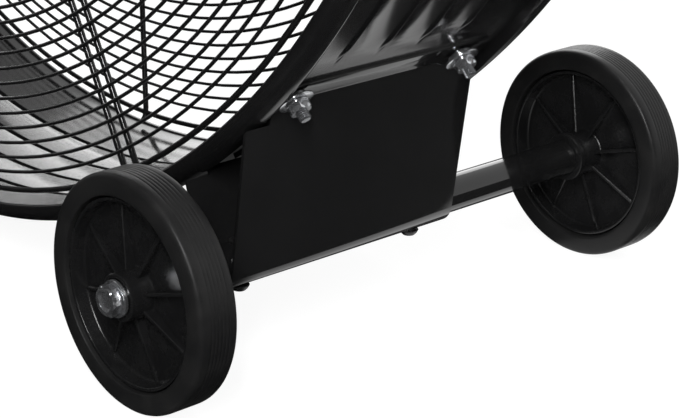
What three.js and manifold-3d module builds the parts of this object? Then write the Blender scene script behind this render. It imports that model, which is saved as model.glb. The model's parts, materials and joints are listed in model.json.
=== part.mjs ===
// A 42-inch class drum fan on two wheels and two rubber feet, in millimetres, +Z up.
// The drum's axis is Y, its outlet faces -Y, and the wheels stand on the +X side.
// Every piece is drawn with the drum's axis at x = 0 and its middle at y = 0, on a floor at z = 0.

import * as THREE from 'three';
import { mergeVertices } from 'three/addons/utils/BufferGeometryUtils.js';
import Module from 'manifold-3d';

const wasm = await Module();
wasm.setup();

// ---------------------------------------------------------------- driving dimensions

const clearance = 0.3; // between pieces that touch
const cutThrough = 1; // how far a cutting tool runs past what it cuts
const drillReach = 20; // the same for a hole through a whole wall
const turningSides = 16; // sides of a shaft and of the bore that it turns in
const shellSides = 24; // sides of the motor's shell and windings
const smallCanSides = 20; // sides of a foot pad, the rotary switch and the capacitor
const tubeSides = 10;
const boltSides = 8;
const washerSides = 8;

// the rolled drum
const drumRadius = 575; // outer face of the sheet
const drumSheet = 2;
const drumDepth = 210;
const drumGroundGap = 32; // from the sheet down to the floor
const rimInset = 5; // of the rolled edge's inside from the sheet's outer face
const rimOutset = 9; // of the rolled edge's outside from it
const rimDepth = 14; // width of the rolled edge along the axis
const beadCount = 4;
const beadPitch = 33.5;
const beadMiddle = -10; // place of the row of beads along the axis
const beadWidth = 9;
const beadHeight = 4;
const facetAngle = 8; // widest step of the drum's circle, in degrees
const seatHalfAngle = 3; // flat places on the drum that brackets sit on

// the wire grilles
const ringPitch = 10.4;
const frontRingStep = 5; // the solid keeps every fifth wire of the front grille
const rearRingStep = 7;
const firstRingInset = 28.3; // from the sheet's outer face to the outermost ring of thin wire
const ringWire = 2.6;
const edgeRingInset = 14.5;
const edgeRingWire = 4;
const grilleRodWidth = 8;
const grilleRodCount = 8;
const grilleThickness = 6.4;
const frontRodAngle = 27.7; // from straight down towards the wheels
const rearRodAngle = 0;
const grilleDiscRadius = 112;
const grilleInset = 1; // of the grille's outer face from the drum's edge
const ringStepLength = 190;

// the axle and its folded bracket
const wheelRadius = 75;
const axleShare = 0.6226087; // of the drum's radius, out from its middle
const axleTubeRadius = 12.5;
const axleTubeWall = 2.5;
const axlePlugLength = 22;
const bracketSheet = 2.5;
const bracketOverhang = 3; // past the drum's front edge
const bracketRearInset = 26; // from the drum's rear edge
const flangeWidth = 18.6;
const outerFlangeAngle = 43.5; // on the drum, from straight down
const innerFlangeAngle = 33.5;
const rimNotchGap = 1.2;
const flangeBoltRadius = 4;
const flangeBoltFrontInset = 28.5; // of the bolts from the bracket's ends
const flangeBoltRearInset = 21;
const clampBoltRadius = 3;
const clampBoltFrontInset = 17;
const clampBoltRearInset = 25;

// the wheels
const wheelWidth = 28;
const frontWheelY = -165;
const rearWheelY = 230;
const tyreInnerRadius = 61;
const tyreShoulder = 2.5;
const tyreBeadDepth = 1; // the tyre's seat on the hub is this far inside its sidewall
const tyreBeadInset = 5;
const hubRimDepth = 24;
const hubRimWall = 2.5;
const hubWeb = 4;
const hubBossRadius = 15;
const hubBossLength = 36;
const hubRibCount = 8;
const hubRibStart = 15; // degrees from +X up to the first rib
const hubRibThickness = 2.5;
const hubRibRoot = 19; // depth at the boss
const hubRibTip = 5.5; // depth at the rim
const hubRibOverlap = 2; // of a rib's ends into the boss and the rim
const bushRadius = 9;
const bushFlangeRadius = 12;
const bushFlange = 2;
const wheelBoltRadius = 6;
const wheelBoltHeadRadius = 10.2; // across corners
const wheelBoltHead = 7;
const wheelWasherRadius = 11.8;
const wheelWasher = 2.5;
const axleCollarRadius = 17;
const axleCollarLength = 6;

// the foot side
const footOverhang = 45; // of each foot past the drum's edge
const footTubeBend = 36;
const footTubeStart = 7; // height of the tube's ends over the floor
const footPadRadius = 19;
const footPadHeight = 30;
const footPadDraft = 3; // how much narrower the pad is at its top
const footPadEdge = 2; // how much narrower it is on the floor

// the handle
const handleAngle = 115;
const handleStandOff = 78;
const handleEndInset = 34; // from the drum's edges to the middles of the handle's feet
const handleTubeRadius = 10;
const handleTubeWall = 2;
const handleBend = 22;
const handleFlangeRadius = 16;
const handleFlange = 4;
const handlePlug = 16; // threaded end of the tube that the handle's screw goes into
const handleGripInset = 25; // of the grip's ends from the handle's legs
const handleGripWall = 4;

// the motor and its two struts
const strutRise = 108.84; // of the middle of a strut's end over the fan's axis
const strutRearInset = 40; // from the drum's rear edge to a strut's middle
const strutWidth = 37;
const strutSheet = 3;
const strutLip = 24;
const strutTab = 36;
const strutLipInset = 95; // from the drum's sheet to the end of a strut's lips
const strutNut = 6.5; // nut fixed on the inside of each of a strut's ends
const strutNutRadius = 8;
const motorRearInset = 13; // of the motor's rear face from the drum's rear edge
const motorLength = 84;
const motorBellDepth = 20;
const motorRadius = 84;
const motorWall = 4;
const bellWall = 6;
const statorInnerRadius = 45;
const statorDepth = 32;
const rotorAirGap = 1;
const bellFaceInset = 22; // of the bell's flat face from its edge
const bellSlope = 8; // depth of the slope round it
const bellRimWall = 8;
const bellDishInset = 14;
const bearingRadius = 20;
const bearingDepth = 12;
const shaftRadius = 8;
const motorPadLength = 130;
const motorBoltX = 48;
const motorThread = 14; // length of the motor's screws in its pads
const shaftTail = 2; // of the shaft behind the motor

// the fan wheel
const bladeCount = 3;
const bladeGapAngle = 17; // middle of a gap between blades, from straight down
const bladeRootRadius = 60;
const bladeTipGap = 33; // from the blades' tips to the sheet's outer face
const bladeRootChord = 150;
const bladeTipChord = 300;
const bladeSheet = 2.5;
const bladeRootPitch = 24;
const bladeTipPitch = 17;
const bladeCamber = 14;
const bladeFlatRadius = 170; // the blade stays flat inside this radius
const bladeTipTaper = 1.6; // how fast the chord narrows in the last tenth of the blade
const bladeSections = [0, 0.1, 0.2268, 0.4, 0.6, 0.8, 0.93, 1]; // along the blade
const bladeChordSteps = [-1, -0.6, -0.2, 0.2, 0.6, 1];
const fanPlaneGap = 44; // from the motor's front face to the plane of the fan wheel
const hubArmRadius = 150;
const hubArmWidth = 64;
const hubArmSheet = 5;
const fanBossRadius = 30;
const fanBossLength = 52;
const fanBossWall = 6; // front wall of the boss, that the shaft's screw pulls on
const hubArmStart = 10;
const shaftScrewRadius = 3;
const shaftScrewDepth = 20;

// the switch box
const boxAngle = 145;
const boxWidth = 56;
const boxHeight = 52;
const boxLength = 126;
const boxWall = 2.5;
const boxCover = 3;
const knobRadius = 17;
const knobLength = 16;
const knobSkirt = 4;
const knobPointer = 4; // width of the raised pointer
const knobPointerReach = 9;
const knobTaper = 2;
const knobShaftCover = 4; // thickness of the knob over the end of the switch's shaft
const switchShaftRadius = 4;
const switchBodyRadius = 16;
const switchBodyLength = 24;
const capacitorRadius = 17;
const capacitorLength = 62;
const capacitorGap = 4; // behind the rotary switch
const glandSides = 12;
const glandThreadRadius = 8;
const glandRadius = 13;
const glandLength = 22;
const glandNut = 8; // length of the gland's straight part
const glandBore = 5;
const leadRadius = 4;
const leadY = 20;
const leadBend = 9;
const leadLift = 2; // of the lead over what it lies on
const leadX = -20; // where the lead goes down into the motor
const leadWallAngles = [141, 138, 131, 124, 117, 110]; // its way round the drum's inside

// ---------------------------------------------------------------- places worked out from them

const degree = Math.PI / 180;
const drumFront = -drumDepth / 2;
const drumBack = drumDepth / 2;
const drumCentreHeight = drumRadius + drumGroundGap;
const rimInnerRadius = drumRadius - rimInset;
const rimOuterRadius = drumRadius + rimOutset;
const firstRingRadius = drumRadius - firstRingInset;
const edgeRingRadius = drumRadius - edgeRingInset;
const bladeTipRadius = drumRadius - bladeTipGap;
const axleX = drumRadius * axleShare;
const handleSpan = drumDepth - 2 * handleEndInset;
const handleGripLength = handleSpan - 2 * handleGripInset;
const footY = drumBack + footOverhang;
const strutMiddle = drumBack - strutRearInset;
const motorRear = drumBack - motorRearInset;
const motorFront = motorRear - motorLength;
const fanPlaneY = motorFront - fanPlaneGap;
const bracketFront = drumFront - bracketOverhang;
const bracketRear = drumBack - bracketRearInset;
const flangeBoltFront = bracketFront + flangeBoltFrontInset;
const flangeBoltRear = bracketRear - flangeBoltRearInset;
const clampBoltFront = bracketFront + clampBoltFrontInset;
const clampBoltRear = bracketRear - clampBoltRearInset;
const seatDistance = drumRadius * Math.cos(seatHalfAngle * degree);
const wallDistance = (drumRadius - drumSheet) * Math.cos(seatHalfAngle * degree);
const strutSeatDistance = wallDistance - clearance - strutSheet / 2;
const strutAngle = 90 - Math.asin(strutRise / strutSeatDistance) / degree; // where a strut's ends sit
const strutLipLength = 2 * (drumRadius - strutLipInset);
const axleTubeFront = frontWheelY + hubBossLength / 2 + axleCollarLength + 2 * clearance;
const axleTubeRear = rearWheelY - hubBossLength / 2 - axleCollarLength - 2 * clearance;
const fanAxis = new THREE.Vector3(0, 0, drumCentreHeight);
const axleAxis = new THREE.Vector3(axleX, 0, wheelRadius);
const footX = -axleX;

const down = (angle) => new THREE.Vector2(Math.sin(angle * degree), -Math.cos(angle * degree));
const around = (angle) => new THREE.Vector2(Math.cos(angle * degree), Math.sin(angle * degree));

// a point of the XZ plane, out from the drum's axis along an angle and then along the drum's circle
function drumPoint(angle, distance, along = 0) {
  const point = down(angle).multiplyScalar(distance);
  point.addScaledVector(around(angle), along);
  point.y += drumCentreHeight;
  return point;
}

// ---------------------------------------------------------------- finishes

const finish = (color, roughness, metalness) => (
  new THREE.MeshStandardMaterial({ color, roughness, metalness })
);
const finishes = {
  blackPaint: () => finish(0x0b0b0c, 0.2, 0.1),
  zinc: () => finish(0xb9bcc0, 0.3, 1),
  steel: () => finish(0x8d9094, 0.35, 1),
  aluminium: () => finish(0xa9adb1, 0.4, 1),
  castMetal: () => finish(0x2a2b2d, 0.5, 0.4),
  rubber: () => finish(0x26262a, 0.75, 0),
  blackPlastic: () => finish(0x101012, 0.45, 0),
  copper: () => finish(0x9a5a34, 0.4, 0.9),
};

// ---------------------------------------------------------------- solid helpers

function volumeOf(geometry) {
  const place = geometry.attributes.position;
  const order = geometry.index;
  const corner = (k) => new THREE.Vector3().fromBufferAttribute(place, order ? order.getX(k) : k);
  const count = order ? order.count : place.count;
  let volume = 0;
  for (let k = 0; k < count; k += 3) {
    volume += corner(k).dot(corner(k + 1).cross(corner(k + 2))) / 6;
  }
  return volume;
}

// merged vertices, no flat triangles, faces pointing out
function tidySolid(geometry) {
  const bare = geometry.clone();
  bare.deleteAttribute('normal');
  bare.deleteAttribute('uv');
  const merged = mergeVertices(bare, 1e-4);
  const order = merged.index.array;
  const inside = volumeOf(merged) < 0;
  const kept = [];
  for (let k = 0; k < order.length; k += 3) {
    const [a, b, c] = [order[k], order[k + 1], order[k + 2]];
    if (a === b || b === c || c === a) continue;
    kept.push(...(inside ? [a, c, b] : [a, b, c]));
  }
  merged.setIndex(kept);
  return merged;
}

function toManifold(geometry) {
  const tidy = tidySolid(geometry);
  const vertProperties = new Float32Array(tidy.attributes.position.array);
  const triVerts = new Uint32Array(tidy.index.array);
  return new wasm.Manifold(new wasm.Mesh({ numProp: 3, vertProperties, triVerts }));
}

function fromManifold(manifold) {
  const mesh = manifold.getMesh();
  const geometry = new THREE.BufferGeometry();
  geometry.setAttribute('position', new THREE.BufferAttribute(new Float32Array(mesh.vertProperties), 3));
  geometry.setIndex(new THREE.BufferAttribute(new Uint32Array(mesh.triVerts), 1));
  return geometry;
}

function join(first, ...others) {
  return fromManifold(others.reduce((whole, other) => whole.add(toManifold(other)), toManifold(first)));
}

function cut(first, ...tools) {
  return fromManifold(tools.reduce((whole, tool) => whole.subtract(toManifold(tool)), toManifold(first)));
}

// a profile of [radius, y] points turned about the Y axis; off the axis it closes on itself
function turned(profile, sides = 24) {
  const points = profile.map(([radius, y]) => new THREE.Vector2(radius, y));
  const openEnded = points[0].x === 0 && points.at(-1).x === 0;
  if (!openEnded) points.push(points[0].clone());
  return tidySolid(new THREE.LatheGeometry(points, sides));
}

const ring = (inner, outer, from, to, sides) => (
  turned([[inner, from], [outer, from], [outer, to], [inner, to]], sides)
);
const rod = (radius, from, to, sides) => turned([[0, from], [radius, from], [radius, to], [0, to]], sides);

// an outline in the XZ plane drawn out along Y
function plateAlongY(outline, from, to) {
  const run = { depth: to - from, bevelEnabled: false };
  const geometry = new THREE.ExtrudeGeometry(new THREE.Shape(outline), run);
  geometry.rotateX(Math.PI / 2);
  geometry.translate(0, to, 0);
  return tidySolid(geometry);
}

function box(width, depth, height, x = 0, y = 0, z = 0) {
  const geometry = new THREE.BoxGeometry(width, depth, height);
  geometry.translate(x, y, z);
  return geometry;
}

// rings of points joined in a row; wrap joins the last to the first, and otherwise flat ends close it
function skin(rings, wrap) {
  const size = rings[0].length;
  const positions = rings.flat().flatMap((point) => [point.x, point.y, point.z]);
  const order = [];
  const rows = wrap ? rings.length : rings.length - 1;
  for (let row = 0; row < rows; row += 1) {
    const here = row * size;
    const next = ((row + 1) % rings.length) * size;
    for (let k = 0; k < size; k += 1) {
      const after = (k + 1) % size;
      order.push(here + k, here + after, next + after, here + k, next + after, next + k);
    }
  }
  if (!wrap) {
    const last = (rings.length - 1) * size;
    for (let k = 1; k < size - 1; k += 1) {
      order.push(0, k + 1, k, last, last + k, last + k + 1);
    }
  }
  const geometry = new THREE.BufferGeometry();
  geometry.setAttribute('position', new THREE.Float32BufferAttribute(positions, 3));
  geometry.setIndex(order);
  return tidySolid(geometry);
}

// circles of one radius set along a path of points; side is a direction that no stretch runs along
function circlesAlong(path, radius, sides, side) {
  return path.map((point, k) => {
    const before = path[Math.max(k - 1, 0)];
    const after = path[Math.min(k + 1, path.length - 1)];
    const back = point.clone().sub(before).normalize();
    const ahead = after.clone().sub(point).normalize();
    const run = back.clone().add(ahead).normalize();
    const across = side.clone().cross(run).normalize();
    const stretch = 1 / Math.max(back.lengthSq() && ahead.lengthSq() ? run.dot(ahead) : 1, 0.5);
    return Array.from({ length: sides }, (_, corner) => {
      const turn = (corner / sides) * 2 * Math.PI;
      const spot = point.clone().addScaledVector(side, radius * Math.cos(turn));
      return spot.addScaledVector(across, radius * stretch * Math.sin(turn));
    });
  });
}

// a tube with a wall along a path that lies in the plane square to side
function tube(path, radius, wall, side, sides = tubeSides) {
  const outside = circlesAlong(path, radius, sides, side);
  const inside = circlesAlong(path, radius - wall, sides, side);
  return skin([...outside, ...inside.reverse()], true);
}

// corner points with each inner corner rounded; bend is the radius of the round
function roundedPath(corners, bend, steps = 3) {
  const path = [corners[0].clone()];
  for (let k = 1; k < corners.length - 1; k += 1) {
    const corner = corners[k];
    const back = corners[k - 1].clone().sub(corner).normalize();
    const ahead = corners[k + 1].clone().sub(corner).normalize();
    const half = back.angleTo(ahead) / 2;
    const middle = back.clone().add(ahead).normalize();
    const centre = corner.clone().addScaledVector(middle, bend / Math.sin(half));
    const start = corner.clone().addScaledVector(back, bend / Math.tan(half)).sub(centre);
    const end = corner.clone().addScaledVector(ahead, bend / Math.tan(half)).sub(centre);
    const axis = start.clone().cross(end).normalize();
    const sweep = start.angleTo(end);
    for (let step = 0; step <= steps; step += 1) {
      path.push(start.clone().applyAxisAngle(axis, (sweep * step) / steps).add(centre));
    }
  }
  path.push(corners.at(-1).clone());
  return path;
}

// the outline of a folded sheet from the line through its middle, with square corners
function foldedSheet(line, sheet) {
  const side = (sign) => line.map((point, k) => {
    const normals = [];
    if (k > 0) normals.push(point.clone().sub(line[k - 1]).normalize());
    if (k < line.length - 1) normals.push(line[k + 1].clone().sub(point).normalize());
    const turnedNormals = normals.map((run) => new THREE.Vector2(-run.y, run.x));
    const mean = turnedNormals.reduce((sum, normal) => sum.add(normal), new THREE.Vector2()).normalize();
    const square = -normals[0].y * mean.x + normals[0].x * mean.y;
    return point.clone().addScaledVector(mean, (sign * sheet) / 2 / square);
  });
  return [...side(1), ...side(-1).reverse()];
}

// turns a piece drawn along +Y so that it points out of the drum at an angle, then moves it there
function onDrum(geometry, angle, distance, y) {
  const outward = down(angle);
  geometry.applyQuaternion(new THREE.Quaternion().setFromUnitVectors(
    new THREE.Vector3(0, 1, 0),
    new THREE.Vector3(outward.x, 0, outward.y),
  ));
  const place = drumPoint(angle, distance);
  geometry.translate(place.x, y, place.y);
  return geometry;
}

// a cylinder that drills a clear hole for a bolt, with its flats outside the bolt's corners
function drill(radius, from, to) {
  return rod((radius + clearance) / Math.cos(Math.PI / boltSides), from, to, boltSides);
}

const drumDrill = (angle, y, radius, from, to) => onDrum(drill(radius, from, to), angle, 0, y);

const upright = (geometry) => geometry.rotateX(Math.PI / 2); // turns a piece drawn along +Y up to +Z

const pieces = new THREE.Group();

function piece(name, geometry, makeFinish, place = null) {
  const mesh = new THREE.Mesh(tidySolid(geometry), makeFinish());
  mesh.name = name;
  if (place) mesh.position.copy(place);
  pieces.add(mesh);
  return mesh;
}

// ---------------------------------------------------------------- fasteners, drawn along +Y

const domedHead = (radius, head) => turned([
  [0, -head],
  [radius * 0.6, -head],
  [radius, -head * 0.4],
  [radius, 0],
  [0, 0],
], washerSides);

// the pieces that a bolt's nut end stacks up over grip: a spacer if it has one, a washer and a nut
function nutStack({ grip, spacerRadius, spacer = 0, washerRadius, washer, nutRadius, nut }) {
  const washerFace = grip + spacer;
  const nutFace = washerFace + washer;
  const stack = [
    rod(washerRadius, washerFace, nutFace, washerSides),
    rod(nutRadius, nutFace - clearance, nutFace + nut, 6),
  ];
  if (spacer) stack.push(rod(spacerRadius, grip, washerFace + clearance, washerSides));
  return { stack, top: nutFace + nut };
}

// a bolt with its head under y = 0 and its shank up through grip
function boltAlone(bolt) {
  const { radius, headRadius, head, tail } = bolt;
  return join(rod(radius, -head / 2, nutStack(bolt).top + tail, boltSides), domedHead(headRadius, head));
}

const boltWithNut = (bolt) => join(boltAlone(bolt), ...nutStack(bolt).stack);

function nutAlone(bolt) {
  const { stack, top } = nutStack(bolt);
  return cut(join(...stack), drill(bolt.radius, bolt.grip - cutThrough, top + cutThrough));
}

function hexScrew({ radius, headRadius, head, washerRadius, washer, length, sides = boltSides }) {
  return join(
    rod(radius, -length, clearance, sides),
    rod(washerRadius, 0, washer, washerSides),
    rod(headRadius, washer - clearance, washer + head, 6),
  );
}

// ---------------------------------------------------------------- the drum

const drumSeats = [
  { angle: outerFlangeAngle, smooth: true },
  { angle: innerFlangeAngle, smooth: true },
  { angle: -outerFlangeAngle, smooth: true },
  { angle: -innerFlangeAngle, smooth: true },
  { angle: strutAngle },
  { angle: -strutAngle },
  { angle: 180 - strutAngle },
  { angle: strutAngle - 180 },
  { angle: -handleAngle, smooth: true },
  { angle: -boxAngle, smooth: true },
];

// edges of the drum's flats round the circle; each seat is one flat
function drumStations() {
  const seats = [...drumSeats].sort((a, b) => a.angle - b.angle);
  const stations = [];
  seats.forEach((seat, k) => {
    const next = seats[(k + 1) % seats.length];
    const from = seat.angle + seatHalfAngle;
    const turn = k === seats.length - 1 ? 360 : 0;
    const to = next.angle - seatHalfAngle + turn;
    stations.push({ angle: seat.angle - seatHalfAngle, smooth: Boolean(seat.smooth) });
    stations.push({ angle: from, smooth: Boolean(seat.smooth) });
    const steps = Math.ceil((to - from) / facetAngle - 0.01); // a whole number of steps isn't split once more
    for (let step = 1; step < steps; step += 1) {
      stations.push({ angle: from + ((to - from) * step) / steps, smooth: false });
    }
  });
  return stations;
}

const beadPlaces = Array.from({ length: beadCount }, (_, k) => (
  beadMiddle + (k - (beadCount - 1) / 2) * beadPitch
));

// the sheet's section: rolled front edge, beads, rolled rear edge, and back along the inside
function drumSection(beadRise) {
  const rimMiddle = (rimInnerRadius + rimOuterRadius) / 2;
  const rimHalf = (rimOuterRadius - rimInnerRadius) / 2;
  const rimPoint = (turn, end) => {
    const radius = rimMiddle + rimHalf * Math.cos(turn);
    return [radius, end * (drumBack - rimDepth / 2 + (rimDepth / 2) * Math.sin(turn))];
  };
  const roll = (end) => [-48, 28, 104, 180, 232].map((turn) => rimPoint(turn * degree, end));
  const beads = beadPlaces.flatMap((y) => [
    [drumRadius, y - beadWidth / 2],
    [drumRadius + beadRise, y],
    [drumRadius, y + beadWidth / 2],
  ]);
  const edge = drumBack - rimDepth;
  const innerRadius = drumRadius - drumSheet;
  const outer = [[drumRadius, -edge], ...beads, [drumRadius, edge]];
  const inner = [[innerRadius, edge], [innerRadius, -edge]];
  return [...outer, ...roll(1), ...inner, ...roll(-1).reverse()];
}

const stations = drumStations();

// how far the rolled edge's inside is from the drum's axis at an angle
function rimReach(angle) {
  const wholeTurn = (value) => ((value % 360) + 360) % 360;
  for (let k = 0; k < stations.length; k += 1) {
    const from = stations[k].angle;
    const width = wholeTurn(stations[(k + 1) % stations.length].angle - from);
    const past = wholeTurn(angle - from);
    if (past > width) continue;
    return (rimInnerRadius * Math.cos((width / 2) * degree)) / Math.cos((past - width / 2) * degree);
  }
  return rimInnerRadius;
}

function drumShell() {
  const rings = stations.map(({ angle, smooth }) => {
    const outward = down(angle);
    return drumSection(smooth ? 0 : beadHeight).map(([radius, y]) => (
      new THREE.Vector3(outward.x * radius, y, outward.y * radius + drumCentreHeight)
    ));
  });
  const drills = [];
  const wall = (angle, y, radius) => {
    drills.push(drumDrill(angle, y, radius, wallDistance - drillReach, seatDistance + drillReach));
  };
  for (const y of [flangeBoltFront, flangeBoltRear]) {
    wall(outerFlangeAngle, y, flangeBoltRadius);
    wall(-outerFlangeAngle, y, flangeBoltRadius);
  }
  for (const angle of [strutAngle, 180 - strutAngle]) {
    wall(angle, strutMiddle, flangeBoltRadius);
    wall(-angle, strutMiddle, flangeBoltRadius);
  }
  for (const y of [-handleSpan / 2, handleSpan / 2]) wall(-handleAngle, y, flangeBoltRadius);
  wall(-boxAngle, leadY, leadRadius);
  return cut(skin(rings, true), ...drills);
}

piece('drum_shell', drumShell(), finishes.blackPaint);

// ---------------------------------------------------------------- the grilles

const arc = (radius, from, to, steps) => (
  Array.from({ length: steps + 1 }, (_, k) => down(from + ((to - from) * k) / steps).multiplyScalar(radius))
);

// a flat wheel of ring wires and rods, each rod's end reaching the drum's rolled edge
function grille(rodAngle, ringStep) {
  const sector = 360 / grilleRodCount;
  const halfRod = (radius) => Math.asin(grilleRodWidth / 2 / radius) / degree;
  const stepsAt = (radius) => Math.ceil((sector * degree * radius) / ringStepLength);
  const drawnPitch = ringPitch * ringStep;
  const wires = [{ radius: edgeRingRadius, half: edgeRingWire / 2 }];
  for (let radius = firstRingRadius; radius > grilleDiscRadius + drawnPitch / 2; radius -= drawnPitch) {
    wires.push({ radius, half: ringWire / 2 });
  }
  wires.push({ radius: grilleDiscRadius, half: 0 });
  const edgeRadius = edgeRingRadius + edgeRingWire / 2;
  const firstRod = sector / 3; // drawn here and turned to its place at the end
  const outline = [];
  const holes = [];
  for (let k = 0; k < grilleRodCount; k += 1) {
    const start = firstRod + k * sector;
    const end = start + sector;
    const round = (radius, steps) => arc(radius, start + halfRod(radius), end - halfRod(radius), steps);
    for (const side of [-1, 1]) {
      const corner = start + side * halfRod(rimInnerRadius);
      outline.push(down(corner).multiplyScalar(rimReach(corner - firstRod + rodAngle) - clearance));
    }
    outline.push(...round(edgeRadius, stepsAt(edgeRingRadius)));
    for (let gap = 1; gap < wires.length; gap += 1) {
      const [outer, inner] = [wires[gap - 1], wires[gap]];
      const outerArc = round(outer.radius - outer.half, stepsAt(outer.radius));
      const innerArc = round(inner.radius + inner.half, stepsAt(inner.radius));
      holes.push(new THREE.Path([...outerArc, ...innerArc.reverse()]));
    }
  }
  const shape = new THREE.Shape(outline);
  shape.holes.push(...holes);
  const geometry = new THREE.ExtrudeGeometry(shape, { depth: grilleThickness, bevelEnabled: false });
  geometry.rotateX(Math.PI / 2);
  geometry.translate(0, grilleThickness / 2, 0);
  return geometry.rotateY((firstRod - rodAngle) * degree);
}

const grilleY = drumBack - grilleInset - grilleThickness / 2;
const outletPlace = fanAxis.clone().setY(-grilleY);
piece('front_grille', grille(frontRodAngle, frontRingStep), finishes.blackPaint, outletPlace);
piece('rear_grille', grille(rearRodAngle, rearRingStep), finishes.blackPaint, fanAxis.clone().setY(grilleY));

// ---------------------------------------------------------------- brackets for the axle and the feet

// where a line from a point touches a circle; side is 1 on the circle's right and -1 on its left
function touchPoint(point, centre, radius, side) {
  const toPoint = point.clone().sub(centre);
  const turn = Math.acos(radius / toPoint.length());
  return toPoint.angle() - side * turn;
}

function bracketLine() {
  const centre = new THREE.Vector2(axleX, wheelRadius);
  const wrapRadius = axleTubeRadius + clearance + bracketSheet / 2;
  const seat = seatDistance + clearance + bracketSheet / 2;
  const outerEnd = drumPoint(outerFlangeAngle, seat, flangeWidth / 2);
  const outerBend = drumPoint(outerFlangeAngle, seat, -flangeWidth / 2);
  const innerBend = drumPoint(innerFlangeAngle, seat, flangeWidth / 2);
  const innerEnd = drumPoint(innerFlangeAngle, seat, -flangeWidth / 2);
  const from = touchPoint(outerBend, centre, wrapRadius, 1);
  let to = touchPoint(innerBend, centre, wrapRadius, -1);
  while (to > from) to -= 2 * Math.PI;
  const steps = 8;
  const reach = wrapRadius / Math.cos((from - to) / steps / 2);
  const wrap = Array.from({ length: steps + 1 }, (_, k) => {
    const turn = from + ((to - from) * k) / steps;
    return new THREE.Vector2(Math.cos(turn), Math.sin(turn)).multiplyScalar(reach).add(centre);
  });
  return [outerEnd, outerBend, ...wrap, innerBend, innerEnd];
}

const clampBolts = { front: clampBoltFront, rear: clampBoltRear };
const flangeBolts = { front: flangeBoltFront, rear: flangeBoltRear };
const notchRear = drumFront + rimDepth + rimNotchGap;

const clampDrill = (y) => (
  upright(drill(clampBoltRadius, -wheelRadius, wheelRadius)).translate(axleX, y, wheelRadius)
);

function foldedBracket() {
  const sheet = plateAlongY(foldedSheet(bracketLine(), bracketSheet), bracketFront, bracketRear);
  const rimRoom = rod(rimOuterRadius + rimNotchGap, bracketFront - cutThrough, notchRear, 90);
  rimRoom.translate(0, 0, drumCentreHeight);
  const flangeDrills = Object.values(flangeBolts).map((y) => (
    drumDrill(outerFlangeAngle, y, flangeBoltRadius, seatDistance - drillReach, seatDistance + drillReach)
  ));
  return cut(sheet, rimRoom, ...flangeDrills, ...Object.values(clampBolts).map(clampDrill));
}

piece('axle_bracket', foldedBracket(), finishes.blackPaint);
piece('foot_bracket', foldedBracket().scale(-1, 1, 1), finishes.blackPaint);

const flangeBolt = {
  radius: flangeBoltRadius,
  headRadius: 9,
  head: 4,
  grip: drumSheet + bracketSheet + 4 * clearance,
  spacerRadius: 8, // a small spacer lifts the wide washer clear of the bracket's fold
  spacer: 2.7,
  washerRadius: 11.5,
  washer: 1.6,
  nutRadius: 7.5,
  nut: 6.5,
  tail: 6,
};
const flangeBoltSeat = wallDistance - clearance;

for (const [end, y] of Object.entries(flangeBolts)) {
  const onFlange = (bolt, angle) => onDrum(bolt, angle, flangeBoltSeat, y);
  piece(`bracket_bolt_${end}`, onFlange(boltAlone(flangeBolt), outerFlangeAngle), finishes.zinc);
  piece(`bracket_nut_${end}`, onFlange(nutAlone(flangeBolt), outerFlangeAngle), finishes.zinc);
  piece(`foot_bolt_${end}`, onFlange(boltWithNut(flangeBolt), -outerFlangeAngle), finishes.zinc);
}

const clampBolt = {
  radius: clampBoltRadius,
  headRadius: 6.5,
  head: 4.5,
  grip: 2 * axleTubeRadius + bracketSheet + 4 * clearance,
  washerRadius: 6,
  washer: 1.2,
  nutRadius: 5.6,
  nut: 5,
  tail: 3,
};

function clampBoltAt(x, y) {
  const bolt = upright(boltWithNut(clampBolt));
  bolt.translate(x, y, wheelRadius - axleTubeRadius - bracketSheet - 3 * clearance);
  return bolt;
}

for (const [end, y] of Object.entries(clampBolts)) {
  piece(`axle_clamp_bolt_${end}`, clampBoltAt(axleX, y), finishes.castMetal);
}
piece('foot_clamp_bolt', clampBoltAt(footX, clampBoltFront), finishes.castMetal);

// ---------------------------------------------------------------- axle and wheels

function axleTube() {
  const bore = wheelBoltRadius + clearance;
  const inner = axleTubeRadius - axleTubeWall;
  const body = turned([
    [bore, axleTubeFront],
    [axleTubeRadius, axleTubeFront],
    [axleTubeRadius, axleTubeRear],
    [bore, axleTubeRear],
    [bore, axleTubeRear - axlePlugLength],
    [inner, axleTubeRear - axlePlugLength],
    [inner, axleTubeFront + axlePlugLength],
    [bore, axleTubeFront + axlePlugLength],
  ], turningSides);
  body.translate(axleX, 0, wheelRadius);
  return cut(body, ...Object.values(clampBolts).map(clampDrill));
}

piece('axle_tube', axleTube(), finishes.blackPaint);

const tyreSeat = tyreInnerRadius - tyreBeadDepth;

function tyre() {
  const half = wheelWidth / 2;
  const shoulder = wheelRadius - tyreShoulder;
  return turned([
    [tyreSeat, -half + tyreBeadInset],
    [tyreInnerRadius, -half],
    [shoulder, -half],
    [wheelRadius, -half + tyreShoulder],
    [wheelRadius, half - tyreShoulder],
    [shoulder, half],
    [tyreInnerRadius, half],
    [tyreSeat, half - tyreBeadInset],
  ]);
}

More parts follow.
